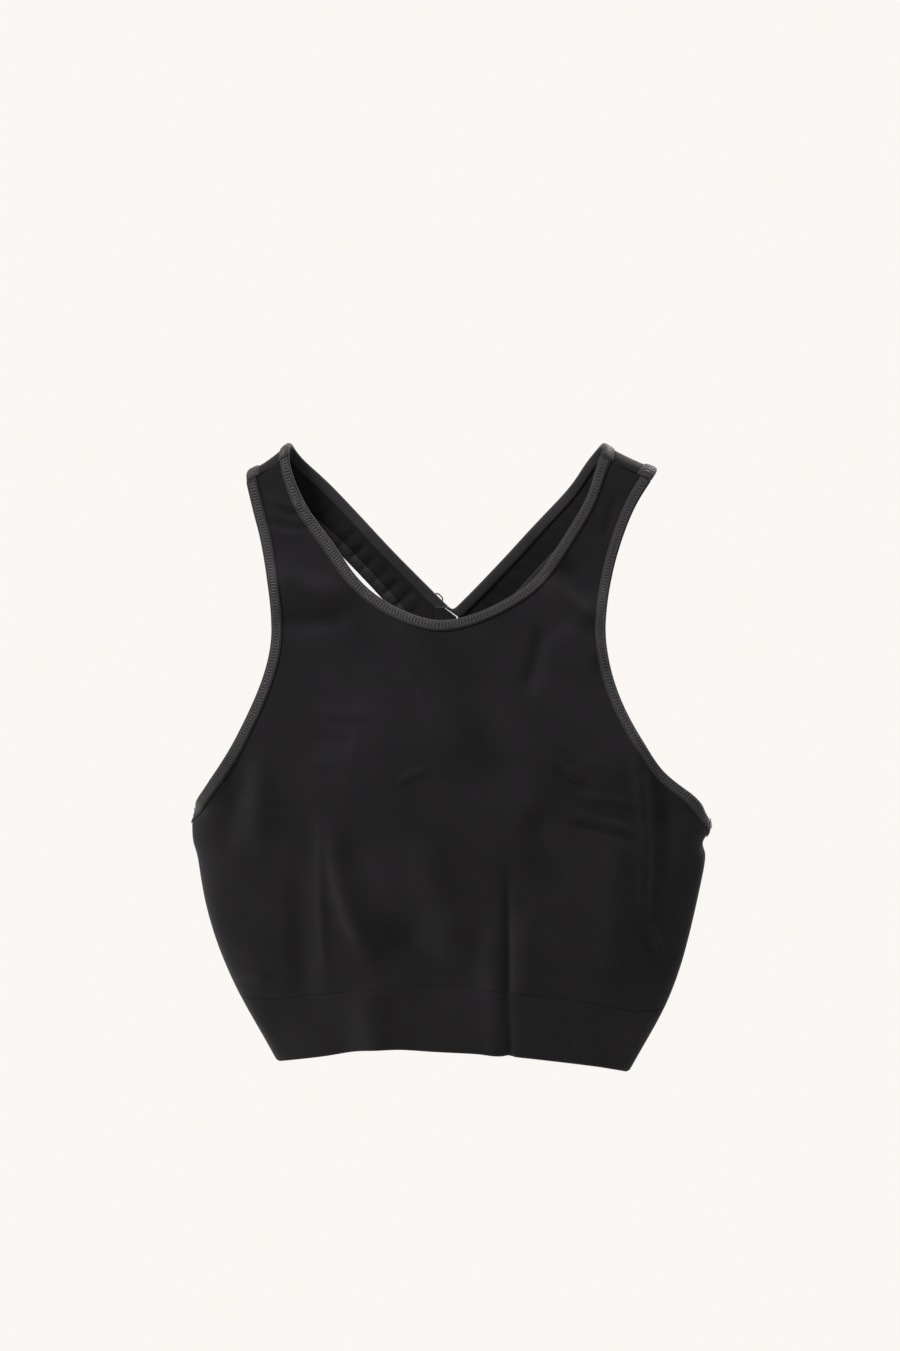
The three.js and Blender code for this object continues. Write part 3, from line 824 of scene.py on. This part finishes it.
def label_finish():
    """Black satin with a pale woven line down one edge."""
    finish = Finish("label satin", 0.7, 0.0, 0.3, 0.06)
    across, down = finish.chart()
    pale_edge = finish.math("GREATER_THAN", across, 1 - LABEL_EDGE)
    threads = finish.math("ABSOLUTE", finish.math("SINE", finish.math("MULTIPLY", down, 160.0)))
    finish.bump(threads, 0.0001, 0.5)
    finish.colour([(0.2, (0.0045, 0.0044, 0.0048)), (0.9, (0.5, 0.5, 0.51))], pale_edge)
    return finish.material


BODY_KNIT = knit(
    "body knit", (0.0026, 0.0024, 0.0029), (0.0060, 0.0055, 0.0064),
    wale=0.00062, course=0.0005, depth=0.0001, sheen=0.06,
)
LINING_KNIT = knit(
    "lining knit", (0.0028, 0.0026, 0.0031), (0.0056, 0.0052, 0.0060),
    wale=0.0005, course=0.00042, depth=0.00006, sheen=0.05,
)
PAD_KNIT = knit(
    "pad knit", (0.009, 0.0085, 0.0095), (0.018, 0.017, 0.019),
    wale=0.0009, course=0.0008, depth=0.00008, sheen=0.06,
)
BINDING = binding_finish("binding tape", (0.0058, 0.0054, 0.0062), (0.0126, 0.0119, 0.0132))
ELASTIC = elastic_finish()
LABEL_SATIN = label_finish()
THREAD = thread_finish("black thread", (0.003, 0.003, 0.0034), (0.008, 0.0077, 0.0084))


def finish_piece(piece, material, nodes, body="garment"):
    """Gives a piece its material and slot, and puts it in the place of its nodes on their body."""
    piece.data.materials.clear()
    piece.data.materials.append(material)
    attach(piece, body)
    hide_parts(*nodes)


# ------------------------------------------------------------------------------ panels and lining

PANEL_TUCK = 1.2  # the panel's edge lies this far inside the binding's fold
PANEL_STEP = {FRONT: 1.45, BACK: 1.9}  # between the points of a panel's mesh
LINING_STEP = 1.9
LINING_SIDE_GAP = 2.2  # which clears the side seams' allowances
LINE_STEP = 1.6  # between the points of a panel's outline
SIDE_GAP = 0.2
BAND_GAP = 0.06  # the seam line that shows between a panel and its band
HEM_SHARE = 1.015  # how much longer the band is than its width

PAD_CROWN = 5.0
PAD_EASE = 1.5  # room over the pad for the shell's wrinkles


def cup_crown(spots):
    """How far a pad in its pocket pushes the layers behind it inwards, from 0 to 1."""
    x = spots[..., 0] - lean_at(spots[..., 2])
    z = spots[..., 2] + SKEW * x
    away = np.hypot(np.abs(x) - CUP_ACROSS, z + CUP_DROP) / CUP_RADIUS
    return np.where(spots[..., 1] < 0, np.maximum(0, 1 - away**2), 0)


def hem_up(along):
    """The hem's height on the chart."""
    return hem_level(along / HEM_SHARE)


def panel_outline(side, tuck, above_hem, side_gap=SIDE_GAP, below_seam=0.0):
    """The cut of a panel: neck, armholes, shoulder seams, side seams and its lower edge."""
    neck, armhole = EDGES[side]
    neck_in = spaced(neck + inward_normals(neck) * tuck, LINE_STEP)
    armhole_in = spaced(armhole + inward_normals(armhole) * tuck, LINE_STEP)
    if below_seam:
        end = armhole_in[-1, 1] - below_seam
        neck_end = neck_in[0, 1] - below_seam
        armhole_in = armhole_in[armhole_in[:, 1] < end]
        neck_in = neck_in[neck_in[:, 1] < neck_end]
    armhole_in[0, 0] = side_along(armhole_in[0, 1]) - side_gap
    across = side_along(-HEM_DROP + above_hem) - side_gap
    low = np.linspace(-across, across, round(2 * across / LINE_STEP))
    bottom = np.stack([low, hem_up(low) + above_hem], axis=1)
    levels = np.arange(bottom[-1, 1] + LINE_STEP, armhole_in[0, 1] - LINE_STEP / 2, LINE_STEP)
    right_side = np.stack([side_along(levels) - side_gap, levels], axis=1)
    shoulder = spaced([armhole_in[-1], neck_in[0]], LINE_STEP)[1:-1]
    left = [mirrored(shoulder), mirrored(armhole_in), mirrored(right_side)]
    return np.vstack([bottom, right_side, armhole_in, shoulder, neck_in, *left])


def make_panels():
    """The front and back panels, each one ply of shell knit."""
    made = {}
    for side, name in ((FRONT, "front_panel"), (BACK, "back_panel")):
        outline = panel_outline(side, PANEL_TUCK, BAND_HEIGHT + BAND_GAP)
        piece = panel_sheet(f"{name}_cloth", side, outline, PANEL_STEP[side], 0.0, CLOTH)
        finish_piece(piece, BODY_KNIT, [name])
        made[side] = piece
    return made


def make_lining():
    """The front's lining, domed over the pads and sewn in just below the shoulder seams."""
    above = BAND_HEIGHT + SEAM_WIDTH + 1.0
    outline = panel_outline(FRONT, BINDING_WIDTH / 2, above, LINING_SIDE_GAP, SEAM_WIDTH / 2 + 0.6)
    face = SEWN + SEAM_HEIGHT + SEWN_GAP
    piece = panel_sheet("front_lining_cloth", FRONT, outline, LINING_STEP, face, LINING, PAD_CROWN)
    finish_piece(piece, LINING_KNIT, ["front_lining"])
    return piece


panels = make_panels()
lining = make_lining()

# ------------------------------------------------------------------------------ bindings and stitches

# The tape's section, folded over the cloth: each point is from the edge, and above the cloth's face.
TAPE_SECTION = [
    (BINDING_WIDTH, 0.42), (6.2, 0.78), (5.3, 1.0), (3.4, 1.06), (1.7, 1.02), (0.75, 0.82), (0.18, 0.3),
    (0.0, -0.4), (0.18, -1.1), (0.75, -1.62), (1.7, -1.78), (3.4, -1.8), (5.3, -1.74), (6.2, -1.56),
    (BINDING_WIDTH, -1.22), (6.2, -0.96), (1.15, -0.96), (0.9, -0.4), (1.15, 0.16), (6.2, 0.16),
]
STITCH_PITCH = 1.75
TAPE_STEP = STITCH_PITCH / 4
ROW_INSETS = (1.5, 4.9)  # the two rows of thread, from the edge
ROW_LIFT = 1.03
ROW_BEAD = (1.25, 0.5, 0.4)  # length, width and height of a stitch
BAR_OVERLAP, BAR_WIDTH, BAR_HEIGHT = 0.6, 0.62, 0.34
DENT, DENT_WIDTH = 0.05, 0.8


def binding_paths(side):
    """Each edge, with the directions of the seams that its binding ends in."""
    neck, armhole = EDGES[side]
    right = spaced(armhole, TAPE_STEP)
    slope = SHOULDER_SLOPE
    return {
        "neck": (spaced(neck, TAPE_STEP), ((1, -slope), (-1, -slope))),
        "right": (right, ((0, -1), (-1, slope))),
        "left": (mirrored(right), ((1, slope), (0, -1))),
    }


def quilted(run, section):
    """Dents that the rows of thread pull into the tape's outer face."""
    beat = np.cos(2 * PI * run * TAPE_STEP / STITCH_PITCH)[:, None]
    rows = sum(np.exp(-(((section[:, 0] - inset) / DENT_WIDTH) ** 2)) for inset in ROW_INSETS)
    return -DENT * (1 + beat) * rows * (section[:, 1] > 0.5)


def thread_bead():
    """One stitch: a short plump bead of thread, one unit long."""
    bpy.ops.mesh.primitive_uv_sphere_add(segments=8, ring_count=5, radius=0.5, rotation=(0, PI / 2, 0))
    bead = bpy.context.object
    bpy.ops.object.transform_apply(rotation=True)
    spots = np.array([tuple(v.co) for v in bead.data.vertices])
    faces = [tuple(p.vertices) for p in bead.data.polygons]
    bpy.data.objects.remove(bead)
    return spots, faces


BEAD = thread_bead()


def bead_faces(count):
    """The faces of a number of beads whose points follow one another."""
    shape, shape_faces = BEAD
    return [tuple(v + k * len(shape) for v in face) for k in range(count) for face in shape_faces]


def stitched(name, side, beads):
    """Copies of the bead, each at a place on the chart, turned along the cloth and sized."""
    shape, _ = BEAD
    along, up, lift, run_x, run_y, length, width, height = np.array(beads, float).T
    spots = cloth(side, along, up, -lift)
    ahead = cloth(side, along + run_x * CHART_STEP, up + run_y * CHART_STEP, -lift) - spots
    ahead /= np.linalg.norm(ahead, axis=1, keepdims=True)
    above = cloth(side, along, up, -lift - CHART_STEP) - spots
    above /= np.linalg.norm(above, axis=1, keepdims=True)
    across = np.cross(above, ahead)
    placed = (
        spots[:, None]
        + ahead[:, None] * (shape[:, 0] * length[:, None])[..., None]
        + across[:, None] * (shape[:, 1] * width[:, None])[..., None]
        + above[:, None] * (shape[:, 2] * height[:, None])[..., None]
    ).reshape(-1, 3)
    return new_piece(name, placed, bead_faces(len(beads)), None, THREAD_ANGLE)


def ladder(path, ends):
    """Cover-stitch seen from its face: two rows of thread and the bars that cross between them."""
    step = round(STITCH_PITCH / TAPE_STEP)
    normals = inset_runs(path, ends)
    runs = inward_normals(path) @ np.array([[0, -1], [1, 0]])
    beads = []
    for k in range(step, len(path) - step, step):
        for inset in ROW_INSETS:
            place = path[k] + normals[k] * inset
            beads.append((*place, ROW_LIFT, *runs[k], *ROW_BEAD))
        between = k + step // 2
        middle = path[between] + normals[between] * sum(ROW_INSETS) / 2
        reach = ROW_INSETS[1] - ROW_INSETS[0] + BAR_OVERLAP
        beads.append((*middle, ROW_LIFT, *normals[between], reach, BAR_WIDTH, BAR_HEIGHT))
    return beads


def make_bindings():
    """The six lengths of tape, and the thread on each."""
    for side, face in ((FRONT, "front"), (BACK, "back")):
        for part, (path, ends) in binding_paths(side).items():
            place = {"neck": "neck_{}", "left": "armhole_{}_left", "right": "armhole_{}_right"}[part]
            tape_node = f"{face}_{place.format('binding')}"
            rows_node = f"{face}_{place.format('stitching')}"
            tape = swept(f"{tape_node}_tape", side, path, TAPE_SECTION, wave=quilted, ends=ends)
            finish_piece(tape, BINDING, [tape_node])
            rows = stitched(f"{rows_node}_thread", side, ladder(path, ends))
            finish_piece(rows, THREAD, [rows_node])


make_bindings()

# ------------------------------------------------------------------------------ hem band

BAND_PLIES_TOP = BAND_HEIGHT - 1.0
PLY_HEIGHTS = (8, 13, 18, 23, 28, 33)
# The band's section, folded double: each point is above the hem, and inwards from the outer face. It
# goes down the outer ply, round the fold, up the inner ply and back between the two.
BAND_SECTION = [
    (37.95, 0.5), (37.85, 0.15), (37.4, 0.02), *((height, 0) for height in (34, 30, 25, 20, 15, 10, 6)),
    (3, 0.02), (1.2, 0.18), (0.35, 0.7), (0.0, 1.45), (0.35, 2.2), (1.2, 2.72), (3, 2.88),
    *((height, 2.9) for height in (*PLY_HEIGHTS, BAND_PLIES_TOP)),
    *((height, 2.1) for height in (BAND_PLIES_TOP, *PLY_HEIGHTS[::-1])),
    (2.2, 2.1), (1.2, 1.45), (2.2, 0.8), *((height, 0.8) for height in PLY_HEIGHTS), (36.6, 0.85),
]
BAND_STEP = 1.8


def band_half(name, side):
    """Half of the band, folded double at the hem, from side seam to side seam."""
    section = np.array(BAND_SECTION)
    share = np.linspace(-1, 1, round(2 * HEM_HALF / BAND_STEP))
    up = hem_up(share * HEM_HALF)[:, None] + section[:, 0]
    across = side_along(up) - SIDE_GAP
    along = share[:, None] * across
    up = hem_up(along) + section[:, 0]
    rings = cloth(side, along, up, section[:, 1])
    chart = np.stack([along, up - 3 * section[:, 1]], axis=-1).reshape(-1, 2)
    piece = new_piece(f"{name}_cloth", rings.reshape(-1, 3), joined_rings(rings, False), chart)
    finish_piece(piece, BODY_KNIT, [name])
    return piece


bands = {FRONT: band_half("front_hem_band", FRONT), BACK: band_half("back_hem_band", BACK)}

# ------------------------------------------------------------------------------ inside pieces

ELASTIC_REACH = (1.4, 36.0)  # above the hem
ELASTIC_DEPTH = (1.1, 1.8)  # inwards from the band's outer face
ELASTIC_RUNGS = 11
SEAM_DEPTH = (1.15, 2.6)
OVERLOCK_PITCH, OVERLOCK_RIPPLE = 2.6, 0.12
SIDE_SEAM_START = 1.5  # inwards from the side fold
SIDE_SEAM_STEP, SIDE_SEAM_BEAT = 0.9, 0.1
SIDE_SEAM_TOP = UNDERARM_DROP + 11.0
SEAM_ROUND = 0.6
SHOULDER_SEAM_POINTS = 22
PAD_POINTS = 72
PAD_SHARES = (0.05, 0.15, 0.27, 0.39, 0.51, 0.63, 0.74, 0.84, 0.92, 0.975)  # of its radius
PAD_RIM = 0.45
TACK_LOW = UNDERARM_DROP + 7.4
TACK_HEIGHT, TACK_PITCH = 4.4, 0.55
TACK_BEAD = (0.62, 4.2, 0.55)
TACK_OUT = 1.35  # outwards from the side fold


def rounded(low, high, near, far, radius, points=3, rungs=0):
    """A rounded rectangle of (above the hem or edge, inset) points."""
    spots = []
    between = np.linspace(low, high, rungs + 2)[1:-1]
    for (u, n), start in (((high, far), 0), ((low, far), 90), ((low, near), 180), ((high, near), 270)):
        inner_u = u - radius if u == high else u + radius
        inner_n = n - radius if n == far else n + radius
        for k in range(points):
            turn = math.radians(start + 90 * k / (points - 1))
            spots.append((inner_u + radius * math.cos(turn), inner_n + radius * math.sin(turn)))
        if start == 0:
            spots += [(u, far) for u in between[::-1]]
        elif start == 180:
            spots += [(u, near) for u in between]
    return spots


def body_ring(name, section, ripple=0.0, pitch=OVERLOCK_PITCH):
    """A band that runs right round the body at the hem, between the layers."""
    section = np.array(section)
    rings, runs = [], []
    for side in (FRONT, BACK):
        share = np.linspace(-1, 1, round(2 * HEM_HALF / BAND_STEP))[:-1] * -side
        up = hem_up(share * HEM_HALF)[:, None] + section[:, 0]
        along = share[:, None] * (side_along(up) - SIDE_GAP)
        up = hem_up(along) + section[:, 0]
        inset = section[:, 1] + ripple * np.cos(2 * PI * along / pitch)
        rings.append(cloth(side, along, up, inset))
        runs.append(np.stack([along + 4 * BUST_HALF * side, up], axis=-1))
    spots = np.vstack(rings)
    chart = np.vstack(runs).reshape(-1, 2)
    return new_piece(name, spots.reshape(-1, 3), joined_rings(spots, True), chart)


def make_band_pieces():
    """The elastic inside the band, and the overlocked seam above it."""
    web = rounded(*ELASTIC_REACH, *ELASTIC_DEPTH, 0.3, rungs=ELASTIC_RUNGS)
    elastic = body_ring("underband_elastic_web", web)
    finish_piece(elastic, ELASTIC, ["underband_elastic"])
    low = BAND_HEIGHT + 0.5
    allowance = rounded(low, low + SEAM_WIDTH, *SEAM_DEPTH, SEAM_ROUND)
    seam = body_ring("band_seam_overlock", allowance, OVERLOCK_RIPPLE)
    finish_piece(seam, THREAD, ["band_seam"])


def make_side_seams():
    """Overlocked allowances that lie in the plane between front and back."""
    section = np.array(rounded(SIDE_SEAM_START, SIDE_SEAM_START + SEAM_WIDTH, -0.75, 0.75, 0.5))
    for sign, name in ((-1, "left"), (1, "right")):
        low = -HEM_DROP + BAND_HEIGHT + SEAM_WIDTH + 1.5
        up = np.arange(low, -SIDE_SEAM_TOP, SIDE_SEAM_STEP)
        edge = cloth(FRONT, sign * side_along(up), up)
        beat = SIDE_SEAM_BEAT * np.cos(2 * PI * np.arange(len(up)) / 3)[:, None]
        rings = np.repeat(edge[:, None], len(section), axis=1)
        rings[..., 0] -= sign * section[:, 0]
        rings[..., 1] = section[:, 1] * (1 + beat)
        piece = new_piece(f"side_seam_{name}_overlock", rings.reshape(-1, 3), joined_rings(rings, False))
        finish_piece(piece, THREAD, [f"side_seam_{name}"])


def make_shoulder_seams():
    """The rolled allowance inside each strap."""
    inner, outer = INNER_HALF + BINDING_WIDTH + 0.4, OUTER_HALF - BINDING_WIDTH - 1.4
    for sign, name in ((-1, "left"), (1, "right")):
        reach = np.linspace(inner, outer, SHOULDER_SEAM_POINTS)
        middle = seam_line(FRONT, reach)
        section = np.array(rounded(-SEAM_WIDTH / 2, SEAM_WIDTH / 2, SEWN + 0.1, SEWN + 1.5, SEAM_ROUND))
        up = middle[:, None] + section[:, 0]
        along = np.repeat(sign * reach[:, None], len(section), axis=1)
        rings = cloth(FRONT, along, up, np.broadcast_to(section[:, 1], up.shape))
        piece = new_piece(f"shoulder_seam_{name}_overlock", rings.reshape(-1, 3), joined_rings(rings, False))
        finish_piece(piece, THREAD, [f"shoulder_seam_{name}"])


def make_pads():
    """Moulded foam pads, domed towards the wearer, in the pockets behind the front."""
    around = np.linspace(0, 2 * PI, PAD_POINTS, endpoint=False)
    outer_face = [(share, SEWN + 0.1 + PAD_EASE * (1 - share**4)) for share in PAD_SHARES]
    inner_face = [(share, SEWN + SEAM_HEIGHT + PAD_CROWN * (1 - share**2)) for share in PAD_SHARES]
    outline = [*outer_face, (1.0, SEWN + PAD_RIM), *inner_face[::-1]]
    for sign, name in ((-1, "left"), (1, "right")):
        rings = []
        for share, inset in outline:
            x = sign * CUP_ACROSS + CUP_RADIUS * share * np.cos(around)
            z = -CUP_DROP + CUP_RADIUS * share * np.sin(around)
            rings.append(cloth(FRONT, along_of(x, z), z, np.full(len(x), inset), 1.0))
        piece = new_piece(f"cup_pad_{name}_foam", np.vstack(rings), joined_rings(rings, False))
        finish_piece(piece, PAD_KNIT, [f"cup_pad_{name}"])


def make_underarm_tacks():
    """Bars of thread over the place where front and back bindings meet."""
    shape, _ = BEAD
    for sign, name in ((-1, "left"), (1, "right")):
        spots = np.arange(-TACK_LOW, -TACK_LOW + TACK_HEIGHT, TACK_PITCH)
        edge = smooth_cloth(FRONT, sign * side_along(spots), spots)
        placed = []
        for k, spot in enumerate(edge):
            lean_in = 0.25 * math.sin(2.1 * k)
            placed.append(shape[:, [2, 0, 1]] * TACK_BEAD + spot + np.array([sign * TACK_OUT, lean_in, 0]))
        faces = bead_faces(len(edge))
        piece = new_piece(f"underarm_tack_{name}_thread", np.vstack(placed), faces, None, THREAD_ANGLE)
        finish_piece(piece, THREAD, [f"underarm_tack_{name}"])


make_band_pieces()
make_side_seams()
make_shoulder_seams()
make_pads()
make_underarm_tacks()

# ------------------------------------------------------------------------------ label

LABEL_CURL = 0.0016  # metres, as are the label's other lengths here
LABEL_LEAN = 0.05
LABEL_LENGTH_SHARE = 0.98  # of its box, so that its end stays clear of the back
LABEL_THICKNESS = 0.0009
LABEL_TOP_SHARE = 0.5  # of the label's width that shows along the seam, before its edge turns down
LABEL_CORNER = 0.25  # share of the label's length over which the edge slants out to full width
LABEL_STITCHES = 6
LABEL_STITCH = (0.0013, 0.0007, 0.0008)
LOOP_MIDDLE = (-8.4, -79.2)
LOOP_REACH = (2.8, 1.4)
LOOP_TURN = math.radians(-46)
LOOP_RADIUS = 0.45  # of its thread
LOOP_RINGS, LOOP_SIDES = 18, 8
LOOP_BEHIND = 0.6  # the tack


def make_label():
    """A woven label folded in half and sewn in askew, so that its pale woven edge starts on a slant."""
    low, high = (Vector(corner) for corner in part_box("care_label"))
    size = high - low
    bpy.ops.mesh.primitive_grid_add(x_subdivisions=14, y_subdivisions=24, size=1)
    label = bpy.context.object
    label.name = "care_label_woven"
    for vert in label.data.vertices:
        across, down = vert.co.x + 0.5, 0.5 - vert.co.y
        bend = LABEL_CURL * down * down * math.sin(1.3 + 2.2 * across)
        lean_out = LABEL_LEAN * size.z * down * (across - 0.5)
        width = size.x * (LABEL_TOP_SHARE + (1 - LABEL_TOP_SHARE) * min(1, down / LABEL_CORNER))
        height = high.z - size.z * down * LABEL_LENGTH_SHARE + lean_out
        vert.co = (low.x + width * across, low.y + size.y / 2 - bend, height)
    bpy.ops.object.modifier_add(type="SOLIDIFY")
    label.modifiers["Solidify"].thickness = LABEL_THICKNESS
    label.modifiers["Solidify"].offset = 0
    bpy.ops.object.modifier_apply(modifier="Solidify")
    bpy.ops.object.shade_smooth_by_angle(angle=math.radians(40))
    label.data.uv_layers[0].name = "cloth"
    finish_piece(label, LABEL_SATIN, ["care_label"], "label")


def thread_loop(depth):
    """Rings of points round a loose loop of thread that stands above the neck's edge."""
    around = np.linspace(0, 2 * PI, LOOP_SIDES, endpoint=False)
    cos, sin = math.cos(LOOP_TURN), math.sin(LOOP_TURN)
    rings = []
    for turn in np.linspace(-0.2, PI + 0.2, LOOP_RINGS):
        out = np.array([math.cos(turn), math.sin(turn)])
        along, above = out[:, None] * LOOP_RADIUS * np.cos(around) + (out * LOOP_REACH)[:, None]
        x = LOOP_MIDDLE[0] + along * cos - above * sin
        z = LOOP_MIDDLE[1] + along * sin + above * cos
        rings.append(np.stack([x, depth + LOOP_RADIUS * np.sin(around), z], axis=-1))
    return rings


def make_label_tack():
    """The thread that sews the label to the back neck, with one loose loop above the neck's edge."""
    low, high = (np.array(corner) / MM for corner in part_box("label_tack"))
    middle = (low + high) / 2
    shape, _ = BEAD
    placed = []
    for k, share in enumerate(np.linspace(0.04, 0.6, LABEL_STITCHES)):
        tilt = 0.2 * math.sin(2.3 * k)
        centre = np.array([low[0] + (high[0] - low[0]) * share, middle[1], middle[2] + tilt])
        placed.append(shape * np.array(LABEL_STITCH) / MM + centre)
    rings = thread_loop(middle[1] + LOOP_BEHIND)
    start = len(placed) * len(shape)
    loop_faces = [tuple(v + start for v in face) for face in joined_rings(rings, False)]
    faces = [*bead_faces(len(placed)), *loop_faces]
    piece = new_piece("label_tack_thread", np.vstack([*placed, *rings]), faces, None, THREAD_ANGLE)
    finish_piece(piece, THREAD, ["label_tack"])


make_label()
make_label_tack()

# ------------------------------------------------------------------------------ stage, light, camera

FLOOR_LEVEL = -1.3
FLOOR_SIZE = 3.6
LOW_SKY, HIGH_SKY = (0.25, 0.24, 0.23), (0.955, 0.93, 0.90)
WINDOW_PLACE = (1.35, 1.1, 1.5)
WINDOW_SIZE, WINDOW_POWER = 0.8, 150
WINDOW_COLOUR = (1.0, 0.985, 0.97)
LIT_POINT = (0, 0, -0.15)
VIEW_CENTRE = (-0.0018, 0.0, -0.126)
VIEW_DISTANCE = 1.109
LENS = 50.0


def add_window(name, sign):
    """A large soft light, in front of the top on one side or behind it on the other."""
    place = Vector((sign * WINDOW_PLACE[0], sign * WINDOW_PLACE[1], WINDOW_PLACE[2]))
    bpy.ops.object.light_add(type="AREA", location=place)
    light = bpy.context.object
    light.name = name
    light.data.shape = "DISK"
    light.data.size = WINDOW_SIZE
    light.data.energy = WINDOW_POWER
    light.data.color = WINDOW_COLOUR
    light.rotation_euler = (Vector(LIT_POINT) - place).to_track_quat("-Z", "Y").to_euler()


def add_floor():
    """A plain pale floor, well below the hem."""
    bpy.ops.mesh.primitive_plane_add(size=FLOOR_SIZE, location=(0, 0, FLOOR_LEVEL))
    floor = bpy.context.object
    floor.name = "floor"
    pale = Finish("pale floor", 0.7)
    pale.colour([(0.3, (0.72, 0.71, 0.69)), (0.7, (0.75, 0.74, 0.72))], pale.noise(3.0))
    floor.data.materials.append(pale.material)


def add_sky():
    """A pale room all round, darker towards the floor."""
    world = bpy.data.worlds.new("studio")
    bpy.context.scene.world = world
    world.use_nodes = True
    sky = world.node_tree
    place = sky.nodes.new("ShaderNodeTexCoord")
    parts = sky.nodes.new("ShaderNodeSeparateXYZ")
    height = sky.nodes.new("ShaderNodeMath")
    height.operation = "MULTIPLY_ADD"
    height.inputs[1].default_value = 0.5
    height.inputs[2].default_value = 0.5
    ramp = sky.nodes.new("ShaderNodeValToRGB")
    for stop, at, colour in zip(ramp.color_ramp.elements, (0.15, 0.31), (LOW_SKY, HIGH_SKY)):
        stop.position = at
        stop.color = (*colour, 1)
    sky.links.new(place.outputs["Generated"], parts.inputs[0])
    sky.links.new(parts.outputs["Z"], height.inputs[0])
    sky.links.new(height.outputs[0], ramp.inputs["Fac"])
    sky.links.new(ramp.outputs["Color"], sky.nodes["Background"].inputs["Color"])


def add_camera():
    """A level camera straight in front of the chest."""
    x, y, z = VIEW_CENTRE
    bpy.ops.object.camera_add(location=(x, y - VIEW_DISTANCE, z), rotation=(PI / 2, 0, 0))
    camera = bpy.context.object
    camera.data.lens = LENS
    camera.data.sensor_width = 36.0
    camera.data.clip_start = 0.05
    bpy.context.scene.camera = camera
    bpy.context.scene.view_settings.view_transform = "Standard"


add_floor()
add_sky()
add_window("front window", -1)
add_window("back window", 1)
add_camera()
